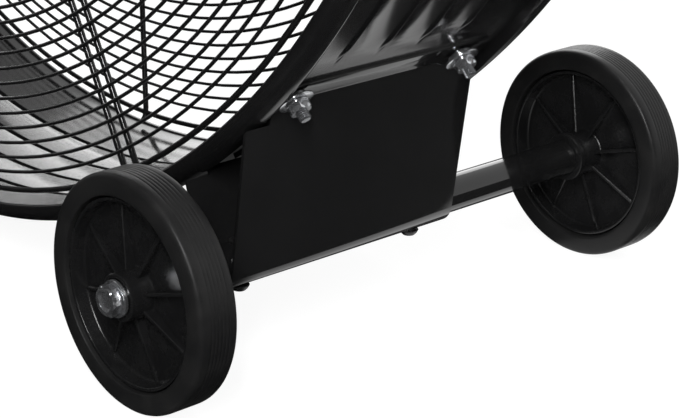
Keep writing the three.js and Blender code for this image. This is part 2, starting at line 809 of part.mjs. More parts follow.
function wheelHub() {
  const outer = tyreSeat - clearance;
  const inner = outer - hubRimWall;
  const half = hubRimDepth / 2;
  const bossHalf = hubBossLength / 2;
  const web = hubWeb / 2;
  const bore = bushRadius + clearance;
  const body = turned([
    [bore, -bossHalf],
    [hubBossRadius, -bossHalf],
    [hubBossRadius, -web],
    [inner, -web],
    [inner, -half],
    [outer, -half],
    [outer, half],
    [inner, half],
    [inner, web],
    [hubBossRadius, web],
    [hubBossRadius, bossHalf],
    [bore, bossHalf],
  ]);
  const from = hubBossRadius - hubRibOverlap;
  const to = inner + hubRibOverlap;
  const [root, tip] = [hubRibRoot / 2, hubRibTip / 2];
  const ribCorners = [[from, -root], [to, -tip], [to, tip], [from, root]];
  const ribOutline = ribCorners.map(([x, y]) => new THREE.Vector2(x, y));
  const ribs = Array.from({ length: hubRibCount }, (_, k) => {
    const rib = upright(plateAlongY(ribOutline, -hubRibThickness / 2, hubRibThickness / 2));
    return rib.rotateY(-(hubRibStart + (k * 360) / hubRibCount) * degree);
  });
  const recess = bushFlangeRadius + clearance;
  const flangeRooms = [-1, 1].map((end) => {
    const face = end * bossHalf;
    const depth = face - end * bushFlange;
    return rod(recess, Math.min(face, depth), Math.max(face, depth), turningSides);
  });
  return cut(join(body, ...ribs), ...flangeRooms);
}

function wheelBush() {
  const half = hubBossLength / 2;
  const bore = wheelBoltRadius + clearance;
  const flange = bushFlange - clearance;
  return turned([
    [bore, -half],
    [bushFlangeRadius, -half],
    [bushFlangeRadius, -half + flange],
    [bushRadius, -half + flange],
    [bushRadius, half],
    [bore, half],
  ], turningSides);
}

const wheelBolt = {
  radius: wheelBoltRadius,
  headRadius: wheelBoltHeadRadius,
  head: wheelBoltHead,
  washerRadius: wheelWasherRadius,
  washer: wheelWasher,
  length: hubBossLength + axleCollarLength + axlePlugLength,
  sides: turningSides,
};

for (const [end, wheelY, out] of [['front', frontWheelY, -1], ['rear', rearWheelY, 1]]) {
  const place = axleAxis.clone().setY(wheelY);
  piece(`wheel_hub_${end}`, wheelHub(), finishes.blackPlastic, place);
  piece(`wheel_tyre_${end}`, tyre(), finishes.rubber, place);
  const bush = wheelBush();
  if (out > 0) bush.rotateX(Math.PI);
  piece(`wheel_bush_${end}`, bush, finishes.aluminium, place);
  const bolt = hexScrew(wheelBolt);
  if (out < 0) bolt.rotateX(Math.PI);
  const boltPlace = place.clone().setY(wheelY + out * (hubBossLength / 2 + clearance));
  piece(`wheel_bolt_${end}`, bolt, finishes.zinc, boltPlace);
  const collarMiddle = wheelY - out * (hubBossLength / 2 + clearance + axleCollarLength / 2);
  const half = axleCollarLength / 2;
  const collar = ring(wheelBoltRadius + clearance, axleCollarRadius, -half, half, turningSides);
  piece(`axle_collar_${end}`, collar, finishes.blackPlastic, place.clone().setY(collarMiddle));
}

// ---------------------------------------------------------------- foot tube and pads

const acrossX = new THREE.Vector3(1, 0, 0);

function footTube() {
  const corners = [
    new THREE.Vector3(footX, -footY, footTubeStart),
    new THREE.Vector3(footX, -footY, wheelRadius),
    new THREE.Vector3(footX, footY, wheelRadius),
    new THREE.Vector3(footX, footY, footTubeStart),
  ];
  const body = tube(roundedPath(corners, footTubeBend), axleTubeRadius, axleTubeWall, acrossX);
  return cut(body, clampDrill(clampBoltFront).translate(footX - axleX, 0, 0));
}

function footPad() {
  const socket = axleTubeRadius + clearance;
  const floor = footTubeStart - clearance;
  const pad = turned([
    [0, 0],
    [footPadRadius - footPadEdge, 0],
    [footPadRadius, footPadEdge],
    [footPadRadius - footPadDraft, footPadHeight],
    [socket, footPadHeight],
    [socket, floor],
    [0, floor],
  ], smallCanSides);
  return upright(pad);
}

piece('foot_tube', footTube(), finishes.blackPaint);
piece('foot_pad_front', footPad(), finishes.rubber, new THREE.Vector3(footX, -footY, 0));
piece('foot_pad_rear', footPad(), finishes.rubber, new THREE.Vector3(footX, footY, 0));

// ---------------------------------------------------------------- handle

const handleSeat = seatDistance + clearance;

function handlePlace(distance, y) {
  const point = drumPoint(-handleAngle, distance);
  return new THREE.Vector3(point.x, y, point.y);
}

const handleAlong = around(-handleAngle);
const handleSide = new THREE.Vector3(handleAlong.x, 0, handleAlong.y);

function handleTube() {
  const half = handleSpan / 2;
  const foot = handleSeat + handleFlange / 2;
  const top = seatDistance + handleStandOff;
  const spots = [[foot, -half], [top, -half], [top, half], [foot, half]];
  const corners = spots.map((spot) => handlePlace(...spot));
  const body = tube(roundedPath(corners, handleBend), handleTubeRadius, handleTubeWall, handleSide);
  const thread = drill(flangeBoltRadius, -cutThrough, handlePlug + cutThrough);
  const plug = cut(join(
    rod(handleFlangeRadius, 0, handleFlange, washerSides),
    rod(handleTubeRadius - handleTubeWall / 2, 0, handlePlug, tubeSides),
  ), thread);
  const ends = [-half, half].map((y) => onDrum(plug.clone(), -handleAngle, handleSeat, y));
  return join(body, ...ends);
}

function handleGrip() {
  const outer = handleTubeRadius + clearance + handleGripWall;
  const top = seatDistance + handleStandOff;
  const path = [-1, 1].map((end) => handlePlace(top, (end * handleGripLength) / 2));
  return tube(path, outer, handleGripWall, handleSide);
}

piece('handle_tube', handleTube(), finishes.blackPaint);
piece('handle_grip', handleGrip(), finishes.rubber);

const handleScrew = {
  radius: flangeBoltRadius,
  headRadius: 7.5,
  head: 5,
  washerRadius: 9,
  washer: 1.6,
  length: drumSheet + 3 * clearance + handlePlug,
};
for (const [end, y] of [['front', -handleSpan / 2], ['rear', handleSpan / 2]]) {
  const screw = hexScrew(handleScrew).rotateX(Math.PI);
  piece(`handle_screw_${end}`, onDrum(screw, -handleAngle, wallDistance - clearance, y), finishes.zinc);
}

// ---------------------------------------------------------------- motor struts

// one strut over the motor; turned over, it is the one under it
function motorStrut(drills) {
  const angle = 180 - strutAngle;
  const half = strutTab / 2;
  const right = [drumPoint(angle, strutSeatDistance, half), drumPoint(angle, strutSeatDistance, -half)];
  const left = [drumPoint(-angle, strutSeatDistance, half), drumPoint(-angle, strutSeatDistance, -half)];
  const line = [right[0], right[1], left[0], left[1]];
  const front = strutMiddle - strutWidth / 2;
  const rear = strutMiddle + strutWidth / 2;
  const base = plateAlongY(foldedSheet(line, strutSheet), front, rear);
  const height = right[1].y;
  const lips = [front + strutSheet / 2, rear - strutSheet / 2].map((y) => (
    box(strutLipLength, strutSheet, strutLip, 0, y, height + strutLip / 2)
  ));
  const nutSeat = strutSeatDistance - strutSheet / 2;
  const nuts = [angle, -angle].map((place) => (
    onDrum(rod(strutNutRadius, -strutNut, clearance, 6), place, nutSeat, strutMiddle)
  ));
  return cut(join(base, ...lips, ...nuts), ...drills);
}

const strutRunHeight = drumPoint(180 - strutAngle, strutSeatDistance, -strutTab / 2).y;
const strutDrills = () => [
  drumDrill(180 - strutAngle, strutMiddle, flangeBoltRadius, wallDistance - drillReach, seatDistance),
  drumDrill(strutAngle - 180, strutMiddle, flangeBoltRadius, wallDistance - drillReach, seatDistance),
];

const motorMiddle = (motorFront + motorRear) / 2;
const padFront = strutMiddle - strutWidth / 2;
const padRear = motorRear - motorBellDepth - clearance;
const padMiddle = (padFront + padRear) / 2;
const padTop = strutRunHeight - drumCentreHeight - strutSheet / 2 - clearance;

const uprightDrill = (radius, x, y, from, to) => upright(drill(radius, from, to)).translate(x, y, 0);

// a hole straight down through the upper strut's middle
function strutHole(radius, x) {
  return uprightDrill(radius, x, padMiddle, strutRunHeight - drillReach, strutRunHeight + drillReach);
}

const motorDrill = () => strutHole(flangeBoltRadius, motorBoltX);
const leadDrill = () => strutHole(leadRadius, leadX);

piece('motor_strut_upper', motorStrut([...strutDrills(), motorDrill(), leadDrill()]), finishes.blackPaint);
const lowerStrut = motorStrut([...strutDrills(), motorDrill()]);
lowerStrut.translate(0, 0, -drumCentreHeight).rotateY(Math.PI).translate(0, 0, drumCentreHeight);
piece('motor_strut_lower', lowerStrut, finishes.blackPaint);

const strutScrew = {
  radius: flangeBoltRadius,
  headRadius: 7.5,
  head: 5,
  washerRadius: 9,
  washer: 1.6,
  length: drumSheet + strutSheet + 3 * clearance + strutNut,
};
const strutScrewAngles = {
  upper_right: 180 - strutAngle,
  upper_left: strutAngle - 180,
  lower_right: strutAngle,
  lower_left: -strutAngle,
};
for (const [place, angle] of Object.entries(strutScrewAngles)) {
  const screw = onDrum(hexScrew(strutScrew), angle, seatDistance + clearance, strutMiddle);
  piece(`strut_screw_${place}`, screw, finishes.zinc);
}

// ---------------------------------------------------------------- motor

const shellFront = motorFront + motorBellDepth + clearance;
const shellRear = motorRear - motorBellDepth - clearance;

function motorShell() {
  const inner = motorRadius - motorWall;
  const body = ring(inner, motorRadius, shellFront, shellRear, shellSides);
  const pads = [-1, 1].map((side) => {
    const foot = inner * 0.75;
    return box(motorPadLength, padRear - padFront, padTop - foot, 0, padMiddle, (side * (padTop + foot)) / 2);
  });
  const room = rod(inner, shellFront - cutThrough, shellRear + cutThrough, shellSides);
  const shell = cut(join(body, ...pads), room);
  const drills = [
    uprightDrill(flangeBoltRadius, motorBoltX, padMiddle, 0, 2 * motorRadius),
    uprightDrill(flangeBoltRadius, -motorBoltX, padMiddle, -2 * motorRadius, 0),
    uprightDrill(leadRadius, leadX, padMiddle, 0, 2 * motorRadius),
  ];
  return cut(shell, ...drills);
}

// an end bell with its bearing's seat, its outer face at y = 0 and the motor beyond it
function endBell() {
  const shaftHole = shaftRadius + 1;
  const seat = bearingRadius + clearance;
  const seatOutside = seat + bellWall;
  return turned([
    [shaftHole, 0],
    [motorRadius - bellFaceInset, 0],
    [motorRadius, bellSlope],
    [motorRadius, motorBellDepth],
    [motorRadius - bellRimWall, motorBellDepth],
    [motorRadius - bellDishInset, 2 * bellWall],
    [seatOutside, 2 * bellWall],
    [seatOutside, motorBellDepth],
    [seat, motorBellDepth],
    [seat, bellWall],
    [shaftHole, bellWall],
  ], turningSides);
}

const bearingSeatDepth = bellWall + clearance;
const bearing = () => (
  ring(shaftRadius + clearance, bearingRadius, -bearingDepth / 2, bearingDepth / 2, turningSides)
);
const frontBearingY = motorFront + bearingSeatDepth + bearingDepth / 2;
const rearBearingY = motorRear - bearingSeatDepth - bearingDepth / 2;
const rotorHalf = statorDepth / 2;

piece('motor_shell', motorShell(), finishes.castMetal, fanAxis);
piece('motor_front_bell', endBell(), finishes.castMetal, fanAxis.clone().setY(motorFront));
piece('motor_rear_bell', endBell().rotateX(Math.PI), finishes.castMetal, fanAxis.clone().setY(motorRear));
piece('motor_bearing_front', bearing(), finishes.steel, fanAxis.clone().setY(frontBearingY));
piece('motor_bearing_rear', bearing(), finishes.steel, fanAxis.clone().setY(rearBearingY));
const statorRadius = motorRadius - motorWall - clearance / Math.cos(Math.PI / shellSides);
const stator = ring(statorInnerRadius, statorRadius, -rotorHalf, rotorHalf, shellSides);
piece('motor_stator', stator, finishes.copper, fanAxis.clone().setY(motorMiddle));
const rotorRadius = statorInnerRadius * Math.cos(Math.PI / shellSides) - rotorAirGap;
const rotorCore = ring(shaftRadius + clearance, rotorRadius, -rotorHalf, rotorHalf, turningSides);
piece('motor_rotor', rotorCore, finishes.aluminium, fanAxis.clone().setY(motorMiddle));

const motorGrip = strutSheet + 2 * clearance;

// a screw down through the strut into the motor's pad, drawn with its head over the strut
function motorScrew(side) {
  const screw = hexScrew({
    radius: flangeBoltRadius,
    headRadius: 7.5,
    head: 5,
    washerRadius: 9,
    washer: 1.6,
    length: motorGrip + motorThread,
  });
  upright(screw).translate(motorBoltX, padMiddle, padTop + motorGrip);
  return side > 0 ? screw : screw.rotateY(Math.PI);
}

piece('motor_screw_upper', motorScrew(1), finishes.zinc, fanAxis);
piece('motor_screw_lower', motorScrew(-1), finishes.zinc, fanAxis);

// ---------------------------------------------------------------- fan wheel

const fanBossFront = fanPlaneY - fanBossLength / 2;
const shaftFront = fanBossFront + fanBossWall;
const shaftRear = motorRear + shaftTail;

function motorShaft() {
  const screwHole = shaftScrewRadius + 2 * clearance;
  return turned([
    [0, shaftRear],
    [shaftRadius, shaftRear],
    [shaftRadius, shaftFront],
    [screwHole, shaftFront],
    [screwHole, shaftFront + shaftScrewDepth + cutThrough],
    [0, shaftFront + shaftScrewDepth + cutThrough],
  ], turningSides);
}

piece('motor_shaft', motorShaft(), finishes.steel, fanAxis);

// a point of a blade: out along its radius, across its chord, and off its middle surface
function bladePoint(radius, chord, lift) {
  const ramp = THREE.MathUtils.smoothstep(radius, bladeFlatRadius, bladeTipRadius);
  const pitch = (bladeRootPitch + (bladeTipPitch - bladeRootPitch) * ramp) * degree;
  const halfChord = bladeTipChord / 2;
  const camber = bladeCamber * ramp * (1 - (chord / halfChord) ** 2);
  const across = new THREE.Vector3(Math.cos(pitch), Math.sin(pitch), 0);
  const off = new THREE.Vector3(Math.sin(pitch), -Math.cos(pitch), 0);
  return across.multiplyScalar(chord).addScaledVector(off, lift + camber).setZ(-radius);
}

const bladeRadii = bladeSections.map((share) => bladeRootRadius + (bladeTipRadius - bladeRootRadius) * share);

function bladeChord(radius) {
  const share = (radius - bladeRootRadius) / (bladeTipRadius - bladeRootRadius);
  const chord = bladeRootChord + (bladeTipChord - bladeRootChord) * Math.sin((share * Math.PI) / 2);
  return chord * (1 - Math.max(share - 0.9, 0) * bladeTipTaper);
}

function fanBlade() {
  const rings = bladeRadii.map((radius) => {
    const half = bladeChord(radius) / 2;
    const face = (lift) => bladeChordSteps.map((share) => bladePoint(radius, share * half, lift));
    return [...face(bladeSheet / 2), ...face(-bladeSheet / 2).reverse()];
  });
  return skin(rings, false);
}

function fanHub() {
  const lift = bladeSheet / 2 + clearance + hubArmSheet / 2;
  const half = hubArmWidth / 2;
  const bore = shaftRadius + clearance;
  const arms = Array.from({ length: bladeCount }, (_, k) => {
    const rings = [hubArmStart, hubArmRadius].map((radius) => [
      bladePoint(radius, -half, -lift - hubArmSheet / 2),
      bladePoint(radius, half, -lift - hubArmSheet / 2),
      bladePoint(radius, half, -lift + hubArmSheet / 2),
      bladePoint(radius, -half, -lift + hubArmSheet / 2),
    ]);
    return skin(rings, false).rotateY(bladeTurn(k));
  });
  const [bossFront, bossRear] = [-fanBossLength / 2, fanBossLength / 2];
  const boss = rod(fanBossRadius, bossFront, bossRear, turningSides);
  const shaftRoom = rod(bore, bossFront + fanBossWall - clearance, bossRear + cutThrough, turningSides);
  const screwRoom = drill(shaftScrewRadius, bossFront - cutThrough, bossFront + fanBossWall);
  return cut(join(boss, ...arms), shaftRoom, screwRoom);
}

const bladeTurn = (k) => -(bladeGapAngle + 180 / bladeCount + (k * 360) / bladeCount) * degree;
const fanPlace = fanAxis.clone().setY(fanPlaneY);
piece('fan_hub', fanHub(), finishes.castMetal, fanPlace);
for (let k = 0; k < bladeCount; k += 1) {
  piece(`fan_blade_${k + 1}`, fanBlade().rotateY(bladeTurn(k)), finishes.aluminium, fanPlace);
}
const hubScrew = hexScrew({
  radius: shaftScrewRadius,
  headRadius: 6,
  head: 4,
  washerRadius: 9,
  washer: 1.6,
  length: shaftScrewDepth,
}).rotateX(Math.PI);
piece('hub_screw', hubScrew, finishes.zinc, fanAxis.clone().setY(fanBossFront - clearance));

// ---------------------------------------------------------------- switch box on the drum

const boxFloor = seatDistance + clearance;
const boxMiddle = boxFloor + boxHeight / 2;

// drawn with x across, y along the drum's axis and z out of the drum, then set on its seat
function onBoxSeat(geometry) {
  const out = down(-boxAngle);
  const across = around(-boxAngle).negate();
  const turn = new THREE.Matrix4().makeBasis(
    new THREE.Vector3(across.x, 0, across.y),
    new THREE.Vector3(0, 1, 0),
    new THREE.Vector3(out.x, 0, out.y),
  );
  return geometry.applyMatrix4(turn).translate(out.x * boxMiddle, 0, out.y * boxMiddle + drumCentreHeight);
}

const boxFront = -boxLength / 2;
const boxRear = boxLength / 2;

function switchBox() {
  const shell = box(boxWidth, boxLength, boxHeight);
  const room = box(boxWidth - 2 * boxWall, boxLength, boxHeight - 2 * boxWall, 0, -boxWall, 0);
  const glandRoom = glandThreadRadius + clearance;
  const glandHole = rod(glandRoom, boxRear - 2 * boxWall, boxRear + cutThrough, glandSides);
  const leadHole = rod(leadRadius + clearance, 0, boxHeight, turningSides).rotateX(-Math.PI / 2);
  leadHole.translate(0, leadY, 0);
  return onBoxSeat(cut(shell, room, glandHole, leadHole));
}

const coverFront = boxFront - clearance - boxCover;
const switchShaftTip = coverFront - knobLength + knobShaftCover;

function switchCover() {
  const plate = box(boxWidth, boxCover, boxHeight, 0, coverFront + boxCover / 2, 0);
  const shaftRoom = switchShaftRadius + 2 * clearance;
  const hole = rod(shaftRoom, coverFront - cutThrough, boxFront + cutThrough, turningSides);
  return onBoxSeat(cut(plate, hole));
}

function rotarySwitch() {
  const back = boxFront + clearance;
  return onBoxSeat(join(
    rod(switchBodyRadius, back, back + switchBodyLength, smallCanSides),
    rod(switchShaftRadius, switchShaftTip, back + cutThrough, turningSides),
  ));
}

function switchKnob() {
  const back = coverFront - clearance;
  const bore = switchShaftRadius + clearance;
  const body = turned([
    [bore, back],
    [knobRadius, back],
    [knobRadius, back - knobSkirt],
    [knobRadius - knobTaper, back - knobLength],
    [0, back - knobLength],
    [0, switchShaftTip - clearance],
    [bore, switchShaftTip - clearance],
  ], turningSides);
  const pointerDepth = knobLength - knobSkirt - clearance;
  const pointer = box(knobPointer, pointerDepth, knobPointerReach, 0, back - knobSkirt - pointerDepth / 2, 0);
  pointer.translate(0, 0, knobRadius + 1 - knobPointerReach / 2);
  return onBoxSeat(join(body, pointer));
}

function runCapacitor() {
  const start = boxFront + switchBodyLength + 2 * clearance + capacitorGap;
  const body = rod(capacitorRadius, start, start + capacitorLength, smallCanSides);
  return onBoxSeat(body.translate(0, 0, capacitorRadius + boxWall + clearance - boxHeight / 2));
}

function cableGland() {
  return onBoxSeat(turned([
    [0, boxRear - 2 * boxWall],
    [glandThreadRadius, boxRear - 2 * boxWall],
    [glandThreadRadius, boxRear + clearance],
    [glandRadius, boxRear + clearance],
    [glandRadius, boxRear + glandNut],
    [(glandRadius + glandThreadRadius) / 2, boxRear + glandLength],
    [glandBore, boxRear + glandLength],
    [glandBore, boxRear + glandNut / 2],
    [0, boxRear + glandNut / 2],
  ], glandSides));
}

piece('switch_box', switchBox(), finishes.blackPaint);
piece('switch_cover', switchCover(), finishes.blackPlastic);
piece('rotary_switch', rotarySwitch(), finishes.blackPlastic);
piece('switch_knob', switchKnob(), finishes.blackPlastic);
piece('run_capacitor', runCapacitor(), finishes.aluminium);
piece('cable_gland', cableGland(), finishes.blackPlastic);

// ---------------------------------------------------------------- motor lead

// from the box through the drum, round its inside, along the upper strut and down into the motor
function motorLead() {
  const layDistance = (drumRadius - drumSheet) * Math.cos((facetAngle / 2) * degree) - leadRadius - clearance;
  const layY = padMiddle;
  const entryY = leadY + 1.5 * leadBend; // where it lies on the drum's wall behind its hole
  const onWall = (angle, y, distance = layDistance) => {
    const point = drumPoint(-angle, distance);
    return new THREE.Vector3(point.x, y, point.y);
  };
  const strutTop = strutRunHeight + strutSheet / 2;
  const layHeight = strutTop + leadRadius + leadLift;
  const strutEnd = -strutLipLength / 2 - leadBend;
  const motorTop = drumCentreHeight + motorRadius - leadLift;
  const over = (x, z) => new THREE.Vector3(x, layY, z);
  const turnPoint = (angle) => {
    const across = leadX - leadBend + leadBend * Math.sin(angle * degree);
    return over(across, strutTop + leadLift / 2 + leadBend * Math.cos(angle * degree));
  };
  const path = [
    onWall(boxAngle, leadY, boxFloor + boxWall),
    onWall(boxAngle, leadY, layDistance + leadLift),
    onWall(boxAngle - leadLift, leadY + leadBend / 1.5, layDistance - leadBend / 1.5),
    ...leadWallAngles.map((angle, k) => onWall(angle, entryY + (layY - entryY) * Math.min(k / 3, 1))),
    over(strutEnd, layHeight + 1.5 * leadBend),
    over(strutEnd + 3 * leadBend, layHeight),
    over(leadX - 4 * leadBend, layHeight),
    ...[0, 30, 60, 90].map(turnPoint),
    over(leadX, motorTop),
  ];
  return leadAlong(path);
}

// the lead's sections are turned step by step, because its path leaves the plane
function leadAlong(path) {
  let side = new THREE.Vector3(0, 1, 0);
  const rings = path.map((point, k) => {
    const before = path[Math.max(k - 1, 0)];
    const after = path[Math.min(k + 1, path.length - 1)];
    const run = after.clone().sub(before).normalize();
    side = side.clone().addScaledVector(run, -side.dot(run)).normalize();
    const across = side.clone().cross(run);
    return Array.from({ length: 8 }, (_, corner) => {
      const turn = (corner / 8) * 2 * Math.PI;
      const spot = point.clone().addScaledVector(side, leadRadius * Math.cos(turn));
      return spot.addScaledVector(across, leadRadius * Math.sin(turn));
    });
  });
  return skin(rings, false);
}

piece('motor_lead', motorLead(), finishes.rubber);

// ---------------------------------------------------------------- the whole fan

// the fan's origin is the middle of the ground under it
const reach = new THREE.Box3().setFromObject(pieces);
pieces.position.set(-(reach.min.x + reach.max.x) / 2, -(reach.min.y + reach.max.y) / 2, -reach.min.z);

const drumFan = new THREE.Group();
drumFan.add(pieces);

export default drumFan;
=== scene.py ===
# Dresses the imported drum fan: painted drum, wire grilles, wheels, brackets and motor, on a pale studio floor.
import json
from math import acos, atan2, cos, pi, radians, sin, sqrt, tan

import bmesh
import bpy
from mathutils import Matrix, Vector


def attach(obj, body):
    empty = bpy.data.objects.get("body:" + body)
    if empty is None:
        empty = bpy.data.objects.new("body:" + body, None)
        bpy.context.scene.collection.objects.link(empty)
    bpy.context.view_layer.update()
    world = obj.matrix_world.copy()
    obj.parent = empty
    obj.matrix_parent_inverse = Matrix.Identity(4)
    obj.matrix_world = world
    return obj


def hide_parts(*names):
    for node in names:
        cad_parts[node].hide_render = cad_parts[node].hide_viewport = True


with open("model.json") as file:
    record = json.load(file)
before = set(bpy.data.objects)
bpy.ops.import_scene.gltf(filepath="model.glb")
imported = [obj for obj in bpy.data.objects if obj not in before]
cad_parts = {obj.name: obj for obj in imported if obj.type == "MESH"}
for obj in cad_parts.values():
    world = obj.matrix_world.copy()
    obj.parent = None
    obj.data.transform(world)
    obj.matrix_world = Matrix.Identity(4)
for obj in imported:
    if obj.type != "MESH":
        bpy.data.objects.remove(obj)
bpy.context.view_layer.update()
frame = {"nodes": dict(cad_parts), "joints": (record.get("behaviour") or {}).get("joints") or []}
joints = {joint["name"]: joint for joint in frame["joints"]}
mm = 0.001
fanAxis = Vector(joints["fan_spin"]["pos_m"])
origin = Vector((fanAxis.x, fanAxis.y, 0))  # pieces are drawn from here in mm, with the drum's middle over it

# flats are the angles where pieces seat on the drum; hem is the rolled edge's (radius, y) outline
drum = dict(radius=575, sheet=2, height=fanAxis.z / mm, steps=720, beads=4, beadPitch=33.5, beadMiddle=-10,
            beadWide=5.2, beadHigh=2.2, beadFade=1.6, beadSteps=6,
            flats=[(-46.1, -30.9), (30.9, 46.1), (-118, -112), (-148, -142)],
            hem=[(575.0, 91.3), (581.6, 91.4), (582.8, 91.8), (583.4, 92.7), (583.3, 94.6), (582.7, 97.0),
                 (581.5, 99.4), (579.7, 101.6), (577.4, 103.4), (574.8, 104.5), (572.8, 104.9),
                 (571.2, 104.7), (570.2, 103.9), (569.9, 102.8), (570.3, 101.8), (571.3, 101.4),
                 (571.9, 100.6), (572.1, 98.6), (572.9, 95.0)])
drumMiddle = Vector((0, 0, drum["height"]))


def drumPoint(angle, distance, along=0.0, y=0.0):  # angle from straight down towards the wheels
    a = radians(angle)
    return Vector((distance * sin(a) + along * cos(a), y,
                   drum["height"] - distance * cos(a) + along * sin(a)))


def basis(x, y, z, place):
    turn = Matrix((x, y, z)).transposed().to_4x4()
    turn.translation = place
    return turn


def upright(place):  # +Y up
    return basis(Vector((1, 0, 0)), Vector((0, 0, 1)), Vector((0, -1, 0)), Vector(place))


def flipped(turn):
    return turn @ Matrix.Rotation(pi, 4, "X")


def heading(path, k):  # which way a row of points runs at its kth
    return (path[min(k + 1, len(path) - 1)] - path[max(k - 1, 0)]).normalized()


def circle(steps):  # cosines and sines of even steps round a turn
    return [(cos(2 * pi * k / steps), sin(2 * pi * k / steps)) for k in range(steps)]


def onDrum(angle, distance, y=0.0):  # +Y out of the drum, +Z back along its axis
    a = radians(angle)
    out = Vector((sin(a), 0, -cos(a)))
    along = Vector((cos(a), 0, sin(a)))
    return basis(along, out, along.cross(out), drumPoint(angle, distance, y=y))


def facing(direction, place):  # +Y along a direction
    turn = Vector((0, 1, 0)).rotation_difference(Vector(direction)).to_matrix().to_4x4()
    turn.translation = Vector(place)
    return turn


def rounded(corners, closed=True, steps=4):  # (a, b, radius) corners of an outline, with arcs put in
    spots = [Vector(c[:2]) for c in corners]
    line = []
    for k, corner in enumerate(corners):
        radius = corner[2] if len(corner) > 2 else 0
        here, before, after = spots[k], spots[k - 1], spots[(k + 1) % len(spots)]
        if radius <= 0 or (not closed and k in (0, len(spots) - 1)):
            line.append(here)
            continue
        back, ahead = before - here, after - here
        half = back.angle(ahead) / 2
        reach = min(radius / tan(half), 0.48 * back.length, 0.48 * ahead.length)
        back.normalize()
        ahead.normalize()
        centre = here + (back + ahead).normalized() * reach / cos(half)
        start = here + back * reach - centre
        sweep = start.angle_signed(here + ahead * reach - centre)
        for step in range(steps + 1):
            turn = -sweep * step / steps
            line.append(centre + Matrix.Rotation(turn, 2) @ start)
    return line


def bentPath(corners, bend, steps=10):  # 3-D corners with round bends
    spots = [Vector(c) for c in corners]
    path = [spots[0]]
    for before, here, after in zip(spots, spots[1:], spots[2:]):
        back, ahead = (before - here).normalized(), (after - here).normalized()
        half = back.angle(ahead) / 2
        reach = bend / tan(half)
        centre = here + (back + ahead).normalized() * bend / sin(half)
        start, end = here + back * reach - centre, here + ahead * reach - centre
        for step in range(steps + 1):
            path.append(centre + start.slerp(end, step / steps).normalized() * bend)
    return path + [spots[-1]]


class Shape:  # points and faces drawn in mm, through a turn that may change between parts
    def __init__(self, turn=None):
        self.points, self.faces = [], []
        self.turn = turn or Matrix()

    def put(self, turn):
        self.turn = turn
        return self

    def add(self, points, faces):
        base = len(self.points)
        self.points += [self.turn @ Vector(p) for p in points]
        self.faces += [[base + k for k in face] for face in faces]
        return self

    def skin(self, rings, wrap=False, caps=True):  # rings of points joined in a row
        size = len(rings[0])
        rows = len(rings) if wrap else len(rings) - 1
        faces = []
        for row in range(rows):
            here, there = row * size, (row + 1) % len(rings) * size
            faces += [[here + k, here + (k + 1) % size, there + (k + 1) % size, there + k]
                      for k in range(size)]
        if caps and not wrap:
            last = (len(rings) - 1) * size
            faces += [list(range(size)), list(range(last, last + size))]
        return self.add([p for ring in rings for p in ring], faces)

    def lathe(self, profile, steps=64):  # (radius, y) points about Y; off the axis it closes on itself
        rings = [[Vector((r * c, y, r * s)) for r, y in profile] for c, s in circle(steps)]
        onAxis = profile[0][0] == 0 and profile[-1][0] == 0
        if not onAxis:
            return self.skin(rings, wrap=True)
        size, faces = len(profile), []
        for row in range(steps):
            here, there = row * size, (row + 1) % steps * size
            faces += [[here + k, here + k + 1, there + k + 1, there + k] for k in range(size - 1)]
        return self.add([p for ring in rings for p in ring], faces)

    def rod(self, radius, low, high, edge=0.4, steps=32):
        return self.lathe(rounded([(0, low), (radius, low, edge), (radius, high, edge), (0, high)],
                                  steps=2), steps)

    def ring(self, inner, outer, low, high, edge=0.4, steps=48):
        corners = [(inner, low, edge), (outer, low, edge), (outer, high, edge), (inner, high, edge)]
        return self.lathe(rounded(corners, steps=2), steps)

    def hexNut(self, across, low, high, bore=0.0, chamfer=0.12, steps=48):  # hexagon with turned corners
        corner = across / sqrt(3)
        rings = []
        rows = [(low, 1 - chamfer), (low + chamfer * across * 0.3, 1), (high - chamfer * across * 0.3, 1),
                (high, 1 - chamfer)]
        for y, share in rows:
            ring = []
            for k, (c, s) in enumerate(circle(steps)):
                a = 2 * pi * k / steps
                flat = across / 2 / cos((a + pi / 6) % (pi / 3) - pi / 6)
                reach = min(flat, corner * share)
                ring.append((reach * c, y, reach * s))
            rings.append(ring)
        if not bore:
            return self.skin(rings)
        inner = [[(bore * c, y, bore * s) for c, s in circle(steps)] for y in (high, low)]
        return self.skin(rings + inner, wrap=True)

    def pipe(self, path, radius, side, steps=24, wall=0.0):  # a round bar or tube; side starts its loops
        def loops(reach):
            made, out = [], Vector(side).normalized()
            for k, here in enumerate(path):
                run = heading(path, k)
                out = (out - run * out.dot(run)).normalized()
                made.append([here + (out * c + out.cross(run) * s) * reach for c, s in circle(steps)])
            return made

        if wall:
            return self.skin(loops(radius) + loops(radius - wall)[::-1], wrap=True)
        return self.skin(loops(radius))

    def plate(self, outline, low, high):  # an XZ outline drawn along Y
        return self.skin([[(x, y, z) for x, z in outline] for y in (low, high)])

    def block(self, size, middle=(0, 0, 0), edge=0.0):
        w, d, h = (value / 2 for value in size)
        outline = rounded([(-w, -h, edge), (w, -h, edge), (w, h, edge), (-w, h, edge)], steps=3)
        moved = [(x + middle[0], z + middle[2]) for x, z in outline]
        return self.plate(moved, middle[1] - d, middle[1] + d)


def at(place):
    return Shape(Matrix.Translation(place))


def meshOf(name, shape):
    mesh = bpy.data.meshes.new(name)
    mesh.from_pydata([origin + p * mm for p in shape.points], [], shape.faces)
    bm = bmesh.new()
    bm.from_mesh(mesh)
    bmesh.ops.remove_doubles(bm, verts=bm.verts, dist=2e-6)
    bmesh.ops.recalc_face_normals(bm, faces=bm.faces)
    bm.to_mesh(mesh)
    bm.free()
    return mesh


